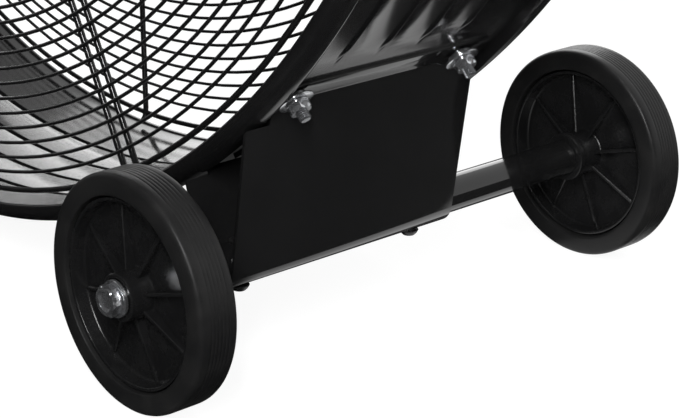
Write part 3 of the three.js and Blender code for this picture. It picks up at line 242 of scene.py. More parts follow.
def soften(mesh, sharp):  # smooth faces, with edges steeper than sharp degrees kept crisp
    mesh.polygons.foreach_set("use_smooth", [True] * len(mesh.polygons))
    bm = bmesh.new()
    bm.from_mesh(mesh)
    for edge in bm.edges:
        edge.smooth = len(edge.link_faces) == 2 and edge.calc_face_angle(0) < radians(sharp)
    bm.to_mesh(mesh)
    bm.free()


def newObject(name, mesh):
    made = bpy.data.objects.new(name, mesh)
    bpy.context.scene.collection.objects.link(made)
    return made


def settle(made):  # the evaluated shape becomes the object's own mesh, and its modifiers go
    bpy.context.view_layer.update()
    solid = bpy.data.meshes.new_from_object(made.evaluated_get(bpy.context.evaluated_depsgraph_get()))
    solid.name = made.name
    made.modifiers.clear()
    made.data = solid
    return made


def camel(node):
    words = node.split("_")
    return words[0] + "".join(word.title() for word in words[1:])


def piece(node, shape, look, name="", body="chassis", sharp=32, bevel=0.0, cutters=(), trees=()):
    name = name or camel(node)
    made = newObject(name, meshOf(name, shape))
    tools = [newObject(name + "Tool", meshOf(name + "Tool", cutter)) for cutter in cutters]
    for tool in tools:
        cut = made.modifiers.new("cut", "BOOLEAN")
        cut.operation, cut.object, cut.solver = "DIFFERENCE", tool, "EXACT"
    if bevel:
        edge = made.modifiers.new("bevel", "BEVEL")
        edge.width, edge.segments = bevel * mm, 2
        edge.limit_method, edge.angle_limit = "ANGLE", radians(35)
    for tree, values in trees:
        runTree(made, tree, {"Finish": finish[look], **values})
    if made.modifiers:
        settle(made)
    for tool in tools:
        bpy.data.objects.remove(tool)
    soften(made.data, sharp)
    made.data.materials.clear()
    made.data.materials.append(finish[look])
    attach(made, body)
    if node:
        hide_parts(node)


class Wire:  # a node's output; sums on it add Math nodes to its own tree
    def __init__(self, board, socket):
        self.board, self.socket = board, socket

    def maths(self, operation, first, second):
        return self.board.add("ShaderNodeMath", {0: first, 1: second}, settings={"operation": operation})

    def __add__(self, other):
        return self.maths("ADD", self, other)

    def __radd__(self, other):
        return self.maths("ADD", other, self)

    def __sub__(self, other):
        return self.maths("SUBTRACT", self, other)

    def __rsub__(self, other):
        return self.maths("SUBTRACT", other, self)

    def __mul__(self, other):
        return self.maths("MULTIPLY", self, other)

    def __rmul__(self, other):
        return self.maths("MULTIPLY", other, self)


class Board:  # a node tree that is built one node at a time
    def __init__(self, tree):
        self.tree = tree

    def add(self, kind, sockets=None, settings=None, output=0):
        node = self.tree.nodes.new(kind)
        for name, value in (settings or {}).items():
            setattr(node, name, value)
        for name, value in (sockets or {}).items():
            for one in value if isinstance(value, list) else [value]:
                if isinstance(one, Wire):
                    self.tree.links.new(one.socket, node.inputs[name])
                else:
                    node.inputs[name].default_value = one
        return Wire(self, node.outputs[output]) if node.outputs else node


# grain and bump are in mm, as is patch, the width of the slow changes in tone; slot is the frame's
looks = {
    "enamel": dict(slot="paint", colour=(0.0078, 0.0078, 0.0080), worn=(0.0098, 0.0098, 0.0100),
                   rough=(0.05, 0.09), patch=90, grain=3.2, bump=0.003),
    "drumEnamel": dict(slot="paint", colour=(0.0078, 0.0078, 0.0080), worn=(0.0098, 0.0098, 0.0100),
                       rough=(0.12, 0.18), patch=90, grain=5.5, bump=0.006),
    "brightZinc": dict(slot="zinc", colour=(0.62, 0.63, 0.65), worn=(0.38, 0.385, 0.40),
                       rough=(0.14, 0.26), metallic=0.92, patch=6, grain=0.9, bump=0.006),
    "blackOxide": dict(slot="dark_fastener", colour=(0.006, 0.006, 0.0065), worn=(0.016, 0.016, 0.016),
                       rough=(0.20, 0.34), specular=0.3, patch=5, grain=0.7, bump=0.006),
    "groundSteel": dict(slot="steel", colour=(0.55, 0.56, 0.58), worn=(0.36, 0.36, 0.38),
                        rough=(0.18, 0.34), metallic=1.0, patch=12, grain=0.8, stretch=(1, 9, 1), bump=0.006),
    "millAluminium": dict(slot="aluminium", colour=(0.66, 0.67, 0.69), worn=(0.48, 0.49, 0.51),
                          rough=(0.26, 0.42), metallic=1.0, patch=60, grain=1.6, stretch=(1, 1, 0.06),
                          bump=0.006),
    "castPaint": dict(slot="cast", colour=(0.010, 0.010, 0.0105), worn=(0.020, 0.0195, 0.0195),
                      rough=(0.34, 0.52), specular=0.25, patch=25, grain=1.6, bump=0.03),
    "tyreRubber": dict(slot="tyre", colour=(0.0105, 0.0105, 0.0108), worn=(0.0160, 0.0158, 0.0157),
                       rough=(0.36, 0.50), specular=0.2, patch=26, grain=1.1, bump=0.012),
    "mattRubber": dict(slot="rubber", colour=(0.009, 0.009, 0.0095), worn=(0.018, 0.0175, 0.0175),
                       rough=(0.55, 0.72), specular=0.25, patch=14, grain=0.8, bump=0.02),
    "satinMoulding": dict(slot="plastic", colour=(0.0075, 0.0075, 0.0078), worn=(0.0105, 0.0105, 0.0108),
                          rough=(0.22, 0.32), specular=0.35, patch=18, grain=0.6, bump=0.004),
    "enamelledWire": dict(slot="copper", colour=(0.42, 0.17, 0.07), worn=(0.26, 0.09, 0.035),
                          rough=(0.28, 0.45), metallic=0.9, patch=8, grain=0.9, stretch=(1, 0.05, 1),
                          bump=0.20),
}


def makeFinish(name, look):
    material = bpy.data.materials.new(name)
    material.use_nodes = True
    board = Board(material.node_tree)
    shader = material.node_tree.nodes["Principled BSDF"]
    shader.inputs["Metallic"].default_value = look.get("metallic", 0.0)
    shader.inputs["Specular IOR Level"].default_value = look.get("specular", 0.5)
    place = board.add("ShaderNodeTexCoord", output="Object")
    patches = board.add("ShaderNodeTexNoise",
                        {"Vector": place, "Scale": 1000 / look["patch"], "Detail": 4.0, "Roughness": 0.6})
    run = board.add("ShaderNodeMapping", {"Vector": place, "Scale": look.get("stretch", (1, 1, 1))})
    grain = board.add("ShaderNodeTexNoise",
                      {"Vector": run, "Scale": 1000 / look["grain"], "Detail": 2.0, "Roughness": 0.55})
    wear = board.add("ShaderNodeMapRange",
                     {"Value": patches * 0.7 + grain * 0.3, "From Min": 0.40, "From Max": 0.66},
                     settings={"interpolation_type": "SMOOTHSTEP"})
    colour = board.add("ShaderNodeMix", {0: wear, 6: (*look["colour"], 1), 7: (*look["worn"], 1)},
                       settings={"data_type": "RGBA"}, output=2)
    low, high = look["rough"]
    bump = board.add("ShaderNodeBump", {"Height": grain, "Distance": look["bump"] * mm, "Strength": 1.0})
    for socket, wire in (("Base Color", colour), ("Roughness", low + (high - low) * wear), ("Normal", bump)):
        board.tree.links.new(wire.socket, shader.inputs[socket])
    return material


finish = {name: makeFinish(name, look) for name, look in looks.items()}
print("finishes:", len(finish))


def openTree(name, inputs):  # a Geometry Nodes tree with named inputs
    tree = bpy.data.node_groups.new(name, "GeometryNodeTree")
    tree.interface.new_socket("Geometry", in_out="OUTPUT", socket_type="NodeSocketGeometry")
    for label, kind in {"Geometry": "Geometry", **inputs, "Finish": "Material"}.items():
        tree.interface.new_socket(label, in_out="INPUT", socket_type="NodeSocket" + kind)
    board = Board(tree)
    start = tree.nodes.new("NodeGroupInput")
    return board, {socket.name: Wire(board, socket) for socket in start.outputs if socket.name}


def closeTree(board, geometry, given):
    solid = board.add("GeometryNodeRealizeInstances", {"Geometry": geometry})
    painted = board.add("GeometryNodeSetMaterial", {"Geometry": solid, "Material": given["Finish"]})
    board.add("NodeGroupOutput", {"Geometry": painted})
    return board.tree


def moved(board, geometry, place):
    return board.add("GeometryNodeTransform", {"Geometry": geometry, "Translation": place})


def copiesRoundTree():  # turns copies of the object's own mesh about an axis along Y
    board, given = openTree("copiesRound", {"Count": "Int", "Step": "Float", "Axis": "Vector"})
    back = board.add("ShaderNodeVectorMath", {0: given["Axis"], "Scale": -1.0},
                     settings={"operation": "SCALE"})
    points = board.add("GeometryNodePoints", {"Count": given["Count"]})
    angle = board.add("GeometryNodeInputIndex") * given["Step"]
    turn = board.add("ShaderNodeCombineXYZ", {"Y": angle})
    copies = board.add("GeometryNodeInstanceOnPoints",
                       {"Points": points, "Instance": moved(board, given["Geometry"], back),
                        "Rotation": turn})
    return closeTree(board, moved(board, copies, given["Axis"]), given)


def wireRingsTree():  # adds rings of wire, each smaller by one pitch, round an axis along Y
    inputs = {"Count": "Int", "First radius": "Float", "Pitch": "Float", "Wire radius": "Float",
              "Round steps": "Int", "Wire sides": "Int", "Middle": "Vector"}
    board, given = openTree("wireRings", inputs)
    points = board.add("GeometryNodePoints", {"Count": given["Count"]})
    loop = board.add("GeometryNodeCurvePrimitiveCircle", {"Resolution": given["Round steps"], "Radius": 1.0})
    reach = given["First radius"] - board.add("GeometryNodeInputIndex") * given["Pitch"]
    size = board.add("ShaderNodeCombineXYZ", {"X": reach, "Y": reach, "Z": 1.0})
    raised = board.add("ShaderNodeCombineXYZ", {"X": pi / 2})
    loops = board.add("GeometryNodeInstanceOnPoints",
                      {"Points": points, "Instance": loop, "Rotation": raised, "Scale": size})
    paths = board.add("GeometryNodeRealizeInstances", {"Geometry": loops})
    section = board.add("GeometryNodeCurvePrimitiveCircle",
                        {"Resolution": given["Wire sides"], "Radius": given["Wire radius"]})
    wires = board.add("GeometryNodeCurveToMesh", {"Curve": paths, "Profile Curve": section})
    both = board.add("GeometryNodeJoinGeometry",
                     {"Geometry": [moved(board, wires, given["Middle"]), given["Geometry"]]})
    return closeTree(board, both, given)


copiesRound, wireRings = copiesRoundTree(), wireRingsTree()


def runTree(made, tree, values):
    step = made.modifiers.new(tree.name, "NODES")
    step.node_group = tree
    for item in tree.interface.items_tree:
        if item.in_out == "INPUT" and item.name in values:
            step[item.identifier] = values[item.name]


def aroundY(count, place, share=1.0):  # values for copiesRound, about a point in mm
    return copiesRound, {"Count": count, "Step": 2 * pi * share / count,
                         "Axis": origin + Vector(place) * mm}


def beadShare(angle):  # the beads run out before every flat seat on the drum
    share = 1.0
    for low, high in drum["flats"]:
        outside = max(low - angle, angle - high)
        share = min(share, max(0.0, outside / drum["beadFade"]))
    return share * share * (3 - 2 * share)


def drumSection(share):  # outside of the sheet from front to back, and back along its inside
    lines = []
    for skin in (drum["radius"], drum["radius"] - drum["sheet"]):
        line = []
        for k in range(drum["beads"]):
            middle = drum["beadMiddle"] + (k - (drum["beads"] - 1) / 2) * drum["beadPitch"]
            for step in range(-drum["beadSteps"], drum["beadSteps"] + 1):
                across = step / drum["beadSteps"]
                rise = drum["beadHigh"] * share * (0.5 + 0.5 * cos(pi * across))
                line.append((skin + rise, middle + across * drum["beadWide"] / 2))
        lines.append(line)
    front = [(radius, -y) for radius, y in drum["hem"][::-1]]
    return front + lines[0] + drum["hem"] + lines[1][::-1]


drumShape = Shape()
rings = []
for k in range(drum["steps"]):
    angle = -180 + 360 * (k + 0.5) / drum["steps"]
    section = drumSection(beadShare(angle))
    rings.append([drumPoint(angle, radius, y=y) for radius, y in section])
drumShape.skin(rings, wrap=True)
piece("drum_shell", drumShape, "drumEnamel", name="drumSkin", sharp=38)
print("drum done")

grille = dict(ringPitch=10.4, firstRing=546.7, wire=1.3, rings=42, edgeRing=560.5, edgeWire=2.0, face=104.9,
              rods=8, rodWire=2.15, rodGap=14.0, frontAngle=27.7, rearAngle=0.0, rodIn=96, rodOut=566,
              discRadius=112, discSheet=1.6, discRings=(42, 78), discRing=2.2)


def wireGrille(name, end, angle, offsets, node):
    g = grille
    ringY = end * (g["face"] - g["wire"] - 0.2)
    rodY = ringY - end * (g["wire"] + g["rodWire"] - 0.3)
    rods = Shape()
    for offset in offsets:
        tail = [(g["rodIn"], rodY), (g["rodOut"] - 9, rodY), (g["rodOut"] - 2, rodY - end * 1.2),
                (g["rodOut"] + 3, rodY - end * 5)]
        path = [drumPoint(angle, reach, offset, y) for reach, y in tail]
        rods.pipe(path, g["rodWire"], drumPoint(angle, 0, 1) - drumPoint(angle, 0), steps=12)
    loops = {"Count": g["rings"], "First radius": g["firstRing"] * mm, "Pitch": g["ringPitch"] * mm,
             "Wire radius": g["wire"] * mm, "Round steps": 168, "Wire sides": 8,
             "Middle": origin + (drumMiddle + Vector((0, ringY, 0))) * mm}
    edge = {**loops, "Count": 1, "First radius": g["edgeRing"] * mm, "Wire radius": g["edgeWire"] * mm,
            "Wire sides": 12, "Middle": origin + (drumMiddle + Vector((0, rodY - end * 0.4, 0))) * mm}
    piece(node, rods, "enamel", name=name, sharp=50, trees=[aroundY(g["rods"], drumMiddle),
                                                            (wireRings, loops), (wireRings, edge)])
    disc = at(drumMiddle)
    face = end * g["face"]
    inside = face - end * g["discSheet"]
    low, high = sorted((inside - end * 2.2, face - end * 2.2))
    disc.lathe([(0, low), (g["discRadius"] - 8, low), (g["discRadius"] - 3, low + 0.9 * (end < 0)),
                (g["discRadius"], low + 0.8), (g["discRadius"], high), (g["discRadius"] - 3, high),
                (g["discRadius"] - 8, high), (0, high)], steps=128)
    for radius in g["discRings"]:  # pressed rings of the plate
        disc.ring(radius - g["discRing"], radius + g["discRing"],
                  *sorted((face - end * 2.4, face - end * 1.4)), edge=0.9, steps=128)
    piece(None, disc, "enamel", name=name + "Disc", sharp=40)


half = grille["rodGap"] / 2
wireGrille("frontGrille", -1, grille["frontAngle"], (-half, half), "front_grille")
wireGrille("rearGrille", 1, grille["rearAngle"], (0,), "rear_grille")
print("grilles done")

bracket = dict(sheet=2.5, front=-108, rear=79, flange=18.6, outer=43.5, inner=33.5, seat=574.51, tube=12.5,
               axleX=358, axleZ=75, fold=1.4, relief=580.5, reliefEnd=-55, notch=585.2, notchRear=-89.8,
               bolts=(-79.5, 58), clamps=(-91, 54))


def offsetLine(line, distance):
    side = []
    for k, here in enumerate(line):
        ahead = (line[min(k + 1, len(line) - 1)] - here).normalized()
        back = (here - line[max(k - 1, 0)]).normalized()
        run = (ahead + back).normalized()
        side.append(here + Vector((-run.y, run.x)) * distance
                    / max(run.dot(ahead if ahead.length else back), 0.5))
    return side


def bracketOutline(mirror):
    b = bracket
    flat = lambda p: Vector((p.x, p.z))
    seat = b["seat"] + b["sheet"] / 2
    wrap = b["tube"] + 0.3 + b["sheet"] / 2
    ends = [flat(drumPoint(angle, seat, along))
            for angle in (b["outer"], b["inner"]) for along in (b["flange"] / 2, -b["flange"] / 2)]
    centre = Vector((b["axleX"], b["axleZ"]))

    def touch(point, side):
        to = point - centre
        return atan2(to.y, to.x) - side * acos(wrap / to.length)

    start, end = touch(ends[1], 1), touch(ends[2], -1)
    while end > start:
        end -= 2 * pi
    round_ = [centre + Vector((cos(a), sin(a))) * wrap
              for a in (start + (end - start) * k / 28 for k in range(29))]
    first = rounded([(*ends[0],), (*ends[1], b["fold"]), (*round_[0],)], closed=False)
    last = rounded([(*round_[-1],), (*ends[2], b["fold"]), (*ends[3],)], closed=False)
    line = first[:-1] + round_ + last[1:]
    outline = offsetLine(line, b["sheet"] / 2) + offsetLine(line, -b["sheet"] / 2)[::-1]
    return [(p.x * mirror, p.y) for p in outline]


for node, mirror in (("axle_bracket", 1), ("foot_bracket", -1)):
    shape = Shape().plate(bracketOutline(mirror), bracket["front"], bracket["rear"])
    notch = at(drumMiddle)
    notch.lathe([(0, bracket["front"] - 2), (bracket["notch"], bracket["front"] - 2),
                 (bracket["notch"], bracket["notchRear"]), (0, bracket["notchRear"])], steps=360)
    relief = [drumPoint(angle * mirror, reach) for angle, reach in [(28, 560), (39, 560)]
              + [(angle, bracket["relief"]) for angle in (39, 33.5, 28)]]
    gap = Shape().plate([(p.x, p.z) for p in relief], bracket["front"] - 2, bracket["reliefEnd"])
    piece(node, shape, "enamel", sharp=30, bevel=0.35, cutters=[notch, gap])
print("brackets done")


def thread(radius, low, high, pitch=1.25):  # profile of a screw's thread, as close turns
    line, y = [], low
    while y + pitch < high:
        line += [(radius - 0.45, y), (radius, y + pitch * 0.5)]
        y += pitch
    return line + [(radius - 0.5, high - 0.4), (radius - 1.0, high), (0, high)]


flangeBolt = dict(radius=4, length=22.4, head=9, headHigh=4, grip=5.7, seat=572.62, fit=0.05, spacer=8,
                  spacerHigh=2.7, washer=11.5, washerHigh=1.6, springHigh=1.3, nut=12.9, nutHigh=5.2)


def domedHead(shape, radius, high):
    return shape.lathe([(0, -high), (radius * 0.35, -high * 0.97), (radius * 0.62, -high * 0.82),
                        (radius * 0.84, -high * 0.5), (radius * 0.96, -high * 0.2), (radius, -0.4),
                        (radius - 0.3, 0), (0, 0)], steps=48)


def headedShank(shape, b):
    shape.lathe([(0, -b["headHigh"] / 2), (b["radius"], -b["headHigh"] / 2)]
                + thread(b["radius"], b["grip"], b["length"]), steps=40)
    domedHead(shape, b["head"], b["headHigh"])


def nutStack(shape, b):
    hole, seat = b["radius"] + b["fit"], b["grip"]
    for reach, high, edge, steps in ((b["spacer"], b["spacerHigh"], 0.5, 48),
                                     (b["washer"], b["washerHigh"], 0.45, 64),
                                     (b["spacer"] - 0.8, b["springHigh"], 0.35, 48)):
        shape.ring(hole, reach, seat, seat + high, edge=edge, steps=steps)
        seat += high
    shape.hexNut(b["nut"], seat, seat + b["nutHigh"], bore=hole)


for end, y in zip(("front", "rear"), bracket["bolts"]):
    for node, side, parts in (("bracket_bolt_", 1, [headedShank]), ("bracket_nut_", 1, [nutStack]),
                              ("foot_bolt_", -1, [headedShank, nutStack])):
        shape = Shape(onDrum(side * bracket["outer"], flangeBolt["seat"], y))
        for part in parts:
            part(shape, flangeBolt)
        piece(node + end, shape, "brightZinc")

clampBolt = dict(radius=3, head=6.5, headHigh=4.5, grip=28.7, seat=58.9, fit=0.05, run=9.2, washer=6,
                 washerHigh=1.2, nut=9.7, nutHigh=5)


def clampShape(x, y):
    c = clampBolt
    shape = Shape(upright((x, y, c["seat"])))
    grip = c["grip"]
    domedHead(shape, c["head"], c["headHigh"])
    shape.lathe([(0, -1), (c["radius"], -1)] + thread(c["radius"], grip, grip + c["run"], 1.0), steps=32)
    hole, top = c["radius"] + c["fit"], grip + c["washerHigh"]
    shape.ring(hole, c["washer"], grip, top, edge=0.3)
    return shape.hexNut(c["nut"], top, top + c["nutHigh"], bore=hole)


socket = dict(across=4.0, deep=2.4)
for node, x, y in (("axle_clamp_bolt_front", bracket["axleX"], bracket["clamps"][0]),
                   ("axle_clamp_bolt_rear", bracket["axleX"], bracket["clamps"][1]),
                   ("foot_clamp_bolt", -bracket["axleX"], bracket["clamps"][0])):
    c = clampBolt
    key = Shape(upright((x, y, c["seat"])))
    key.hexNut(socket["across"], -c["headHigh"] - 1, -c["headHigh"] + socket["deep"], chamfer=0)
    piece(node, clampShape(x, y), "blackOxide", cutters=[key])
print("bracket fasteners done")

wheel = dict(radius=75, width=28, ys=(-165, 230), seat=60, hubOut=59.7, hubDeep=11.6, hubWall=2.2, web=2,
             boss=15, bossHalf=18, bush=9, ribs=8, ribTurn=15, rib=2.5, ribRoot=9.5, ribTip=2.75,
             groovePitch=2.6, grooveDeep=0.14)


def tyreProfile():
    half, top = wheel["width"] / 2, wheel["radius"]
    side = [(wheel["seat"], 9.0), (60.9, 12.0), (61.0, 13.0), (61.3, 13.6), (62.0, 13.9), (63.2, 14.0),
            (68.0, 14.0), (71.6, 13.95), (72.8, 13.7), (73.7, 13.2), (74.4, 12.4), (74.8, 11.4),
            (top - 0.03, 10.0), (top, 8.6)]
    tread, y = [], 7.6
    while y > -7.7:
        tread += [(top, y), (top - wheel["grooveDeep"], y - 0.35), (top, y - 0.7)]
        y -= wheel["groovePitch"]
    mirrored = [(r, -y) for r, y in side[::-1]]
    return side + tread + mirrored


def wheelHub(place):
    w = wheel
    inner = w["hubOut"] - w["hubWall"]
    body = at(place)
    end, hole = w["bossHalf"], w["bush"] + 0.3
    outer = [(hole, end - 2, 0), (12.3, end - 2, 0.2), (12.3, end, 0.3), (w["boss"], end, 1.0),
             (w["boss"] + 0.6, w["web"], 1.5), (inner - 1.2, w["web"], 2), (inner, w["hubDeep"], 0.8),
             (w["hubOut"], w["hubDeep"], 0.4)]
    corners = [(r, -y, edge) for r, y, edge in outer] + outer[::-1]
    return body.lathe(rounded(corners, steps=3), steps=112)


def wheelRib(place):  # one rib that slopes from the boss down to the web at the hub's rim
    w = wheel
    near, far = w["boss"] - 1, w["hubOut"] - w["hubWall"] + 1
    rib = Shape(Matrix.Translation(place) @ Matrix.Rotation(radians(-w["ribTurn"]), 4, "Y"))
    half = w["rib"] / 2
    for side in (-1, 1):
        rings = []
        for reach, high in ((near, w["ribRoot"]), (far, w["ribTip"])):
            edge = [(half + 0.25, 1.0), (half, high - 0.5), (half - 0.5, high)]
            outline = [(-across, up) for across, up in edge] + edge[::-1]
            rings.append([(reach, side * up, across) for across, up in outline])
        rib.skin(rings)
    return rib


wheelBolt = dict(radius=6, length=64, washer=11.8, washerHigh=2.5, across=17.66, headLow=3.2, headHigh=9.0,
                 seat=18.3, collar=21.3, collarOut=17, collarHalf=3)


def boltHead(shape):  # washer and chamfered hexagon, outwards along +Y
    w = wheelBolt
    shape.ring(w["radius"] + 0.05, w["washer"], 0, w["washerHigh"], edge=0.5, steps=64)
    shape.lathe([(0, -2), (w["radius"], -2), (w["radius"], 2.7), (9.2, 2.7), (9.4, 3.3), (0, 3.3)], steps=64)
    shape.hexNut(w["across"], w["headLow"], w["headHigh"], bore=w["radius"] + 0.2, chamfer=0.13)
    dish = [(0, 5), (7.2, 5), (7.2, 8.9, 0.3), (6.4, 8.9, 0.5), (4.6, 7.6, 1.2), (0, 7.4)]
    return shape.lathe(rounded(dish, steps=3), steps=48)


for end, y, out in (("front", wheel["ys"][0], -1), ("rear", wheel["ys"][1], 1)):
    place = Vector((bracket["axleX"], y, bracket["axleZ"]))
    body = "wheel_" + end
    title = end.title()
    tyre = at(place).lathe(tyreProfile(), steps=176)
    piece("wheel_tyre_" + end, tyre, "tyreRubber", name="tyre" + title, body=body, sharp=30)
    piece("wheel_hub_" + end, wheelHub(place), "satinMoulding", name="hub" + title, body=body, sharp=28)
    piece(None, wheelRib(place), "satinMoulding", name="hubRibs" + title, body=body, sharp=40,
          trees=[aroundY(wheel["ribs"], place)])
    bush = Shape(facing((0, -out, 0), place))
    bush.lathe([(6.3, -17.6), (wheel["bush"], -18), (wheel["bush"], 16.3), (11.6, 16.3), (12, 16.6),
                (12, 17.7), (11.6, 18), (6.3, 18)], steps=64)
    piece("wheel_bush_" + end, bush, "millAluminium", name="bush" + title, body=body)
    headSeat = place + Vector((0, out * wheelBolt["seat"], 0))
    bolt = boltHead(Shape(facing((0, out, 0), headSeat)))
    bolt.rod(wheelBolt["radius"], -wheelBolt["length"], 1, edge=0.8, steps=40)
    piece("wheel_bolt_" + end, bolt, "brightZinc", sharp=18)
    collar = at(place + Vector((0, -out * wheelBolt["collar"], 0)))
    collar.ring(6.3, wheelBolt["collarOut"], -wheelBolt["collarHalf"], wheelBolt["collarHalf"], edge=1.0,
                steps=64)
    piece("axle_collar_" + end, collar, "satinMoulding", name="collar" + title)
print("wheels done")

axle = dict(radius=12.5, wall=2.5, front=-140.4, rear=205.4, plug=1.4, bore=6.3)
tube = at((bracket["axleX"], 0, bracket["axleZ"]))
inner = axle["radius"] - axle["wall"]
ends = [[(axle["bore"], y + into), (inner, y + into), (inner, y, 0.3), (axle["radius"], y, 0.8)]
        for y, into in ((axle["front"], axle["plug"]), (axle["rear"], -axle["plug"]))]
tube.lathe(rounded(ends[0] + ends[1][::-1], steps=3), steps=96)
piece("axle_tube", tube, "enamel")
foot = dict(x=-358, y=150, z=75, bend=36, start=7, radius=12.5, wall=2.5, pad=19, padHigh=30,
            padRings=(8, 12, 16))
corners = [(foot["x"], side * foot["y"], foot[level])
           for side, level in ((-1, "start"), (-1, "z"), (1, "z"), (1, "start"))]
tube = Shape().pipe(bentPath(corners, foot["bend"]), foot["radius"], (1, 0, 0), steps=48, wall=foot["wall"])
piece("foot_tube", tube, "enamel")

for end, side in (("front", -1), ("rear", 1)):
    f = foot
    pad = Shape(upright((f["x"], side * f["y"], 0)))
    profile = [(0, 1.2), (11, 1.2), (11.8, 0), (f["pad"] - 2, 0, 0.8), (f["pad"], 2, 0.8), (f["pad"], 5, 0.8)]
    for low in f["padRings"]:  # rings that let the pad's side give a little
        profile += [(f["pad"] - 0.4, low, 0.5), (f["pad"] - 1.6, low + 0.8, 0.5),
                    (f["pad"] - 0.7, low + 2, 0.5)]
    profile += [(f["pad"] - 3, f["padHigh"], 1.4), (f["radius"] + 0.3, f["padHigh"], 0.6),
                (f["radius"] + 0.3, 6.7), (0, 6.7)]
    pad.lathe(rounded(profile, steps=3), steps=72)
    piece("foot_pad_" + end, pad, "mattRubber")
print("foot side done")

handle = dict(angle=115, seat=574.51, top=652.21, half=71, radius=10, wall=2, bend=22, flange=16,
              flangeHigh=4, gripHalf=46, gripOut=14.1, gripPitch=4.6, gripDeep=0.7, screwSeat=571.91,
              screw=18.9)


def handlePlace(distance, y):
    return drumPoint(-handle["angle"], distance, y=y)


h = handle
across = handlePlace(h["top"], 0) - drumPoint(-h["angle"], h["top"], 1)
corners = [handlePlace(out, side * h["half"])
           for out, side in ((h["seat"] + 2, -1), (h["top"], -1), (h["top"], 1), (h["seat"] + 2, 1))]
tube = Shape().pipe(bentPath(corners, h["bend"]), h["radius"], across, steps=40, wall=h["wall"])
for y in (-h["half"], h["half"]):
    tube.put(onDrum(-h["angle"], h["seat"], y)).ring(4.05, h["flange"], 0, h["flangeHigh"], edge=0.8,
                                                     steps=56)
    tube.ring(4.05, h["radius"] - 1, 1, 16, edge=0.5)
piece("handle_tube", tube, "enamel")

grip = at(handlePlace(h["top"], 0))
profile, y = [(10.3, -h["gripHalf"], 0.3), (h["gripOut"] - 0.6, -h["gripHalf"], 0.8)], -h["gripHalf"] + 3
while y < h["gripHalf"] - 4:
    profile += [(h["gripOut"], y, 0.6), (h["gripOut"], y + 2.6, 0.6),
                (h["gripOut"] - h["gripDeep"], y + 3, 0.3), (h["gripOut"] - h["gripDeep"],
                                                             y + h["gripPitch"] - 0.4, 0.3)]
    y += h["gripPitch"]
profile += [(h["gripOut"] - 0.6, h["gripHalf"], 0.8), (10.3, h["gripHalf"], 0.3)]
grip.lathe(rounded(profile, steps=2), steps=48)
piece("handle_grip", grip, "mattRubber")


def hexScrew(turn, length, radius=4, washer=9, across=13, high=5):  # head along +Y of the turn
    shape = Shape(turn)
    shape.lathe([(0, 1)] + [(r, -y) for r, y in [(radius, -1)] + thread(radius, 1.6, length)], steps=32)
    shape.ring(radius + 0.05, washer, 0, 1.6, edge=0.4, steps=56)
    shape.hexNut(across, 1.55, 1.6 + high)
    return shape


for end, y in (("front", -h["half"]), ("rear", h["half"])):
    screw = hexScrew(flipped(onDrum(-h["angle"], h["screwSeat"], y)), h["screw"])
    piece("handle_screw_" + end, screw, "brightZinc")
print("handle done")

strut = dict(angle=101, seat=570.41, tab=18, sheet=3, fold=4.5, front=46.5, rear=83.5, lip=24, lipHalf=480,
             lipCorner=8, middle=65, nut=13.86, nutHigh=6.5, run=698.17, screwSeat=574.51, screw=12.4)
turnedOver = (Matrix.Translation(drumMiddle) @ Matrix.Rotation(pi, 4, "Y")
              @ Matrix.Translation(-drumMiddle))
for name, turn, node in (("strutUpper", Matrix(), "motor_strut_upper"),
                         ("strutLower", turnedOver, "motor_strut_lower")):
    s = strut
    ends = [drumPoint(angle, s["seat"], along)
            for angle in (s["angle"], -s["angle"]) for along in (s["tab"], -s["tab"])]
    line = rounded([(p.x, p.z, s["fold"]) for p in ends], closed=False, steps=6)
    outline = offsetLine(line, s["sheet"] / 2) + offsetLine(line, -s["sheet"] / 2)[::-1]
    shape = Shape(turn).plate(outline, s["front"], s["rear"])
    top = s["run"] + s["lip"]
    lip = rounded([(-s["lipHalf"], s["run"]), (s["lipHalf"], s["run"]), (s["lipHalf"], top, s["lipCorner"]),
                   (-s["lipHalf"], top, s["lipCorner"])])
    for low in (s["front"], s["rear"] - s["sheet"]):
        shape.plate(lip, low, low + s["sheet"])
    for angle in (s["angle"], -s["angle"]):
        shape.put(turn @ onDrum(angle, s["seat"] - s["sheet"] / 2, s["middle"]))
        shape.hexNut(s["nut"], -s["nutHigh"], 0.3, bore=4.05)
    piece(node, shape, "enamel", name=name, sharp=30, bevel=0.4)
for place, angle in (("upper_right", 101), ("upper_left", -101), ("lower_right", 79), ("lower_left", -79)):
    screw = hexScrew(onDrum(angle, strut["screwSeat"], strut["middle"]), strut["screw"])
    piece("strut_screw_" + place, screw, "brightZinc")
print("struts done")

motor = dict(front=8, rear=92, radius=84, inner=80, skin=81.4, fins=72, fin=1.3, shellFront=28.3,
             shellRear=71.7, pad=130, padFoot=60, padTop=89.37, padFront=46.5, tieRadius=70, ties=4,
             screwX=48, screwY=59.1, screwSeat=92.97, screw=17.6)
m = motor
shell = at(drumMiddle)
shell.ring(m["inner"], m["skin"], m["shellFront"], m["shellRear"], edge=0.4, steps=144)
for side in (-1, 1):
    for x in (-1, 1):
        high = m["padTop"] - m["padFoot"]
        shell.block((36, m["shellRear"] - m["padFront"], high),
                    (x * 47, (m["shellRear"] + m["padFront"]) / 2, side * (m["padTop"] + m["padFoot"]) / 2),
                    edge=3)
    shell.block((m["pad"] - 8, 6, 18), (0, m["padFront"] + 3.5, side * (m["inner"] + 1)), edge=2)
piece("motor_shell", shell, "castPaint", bevel=0.5)
fin = at(drumMiddle)
edge = [(m["skin"] - 0.6, m["fin"] / 2 + 0.2), (m["radius"] - 0.3, m["fin"] / 2 - 0.2)]
fin.plate([(out, -across) for out, across in edge] + [(m["radius"], 0)] + edge[::-1],
          m["shellFront"] + 1, m["shellRear"] - 1)
piece(None, fin, "castPaint", name="motorFins", sharp=25, trees=[aroundY(m["fins"], drumMiddle)])

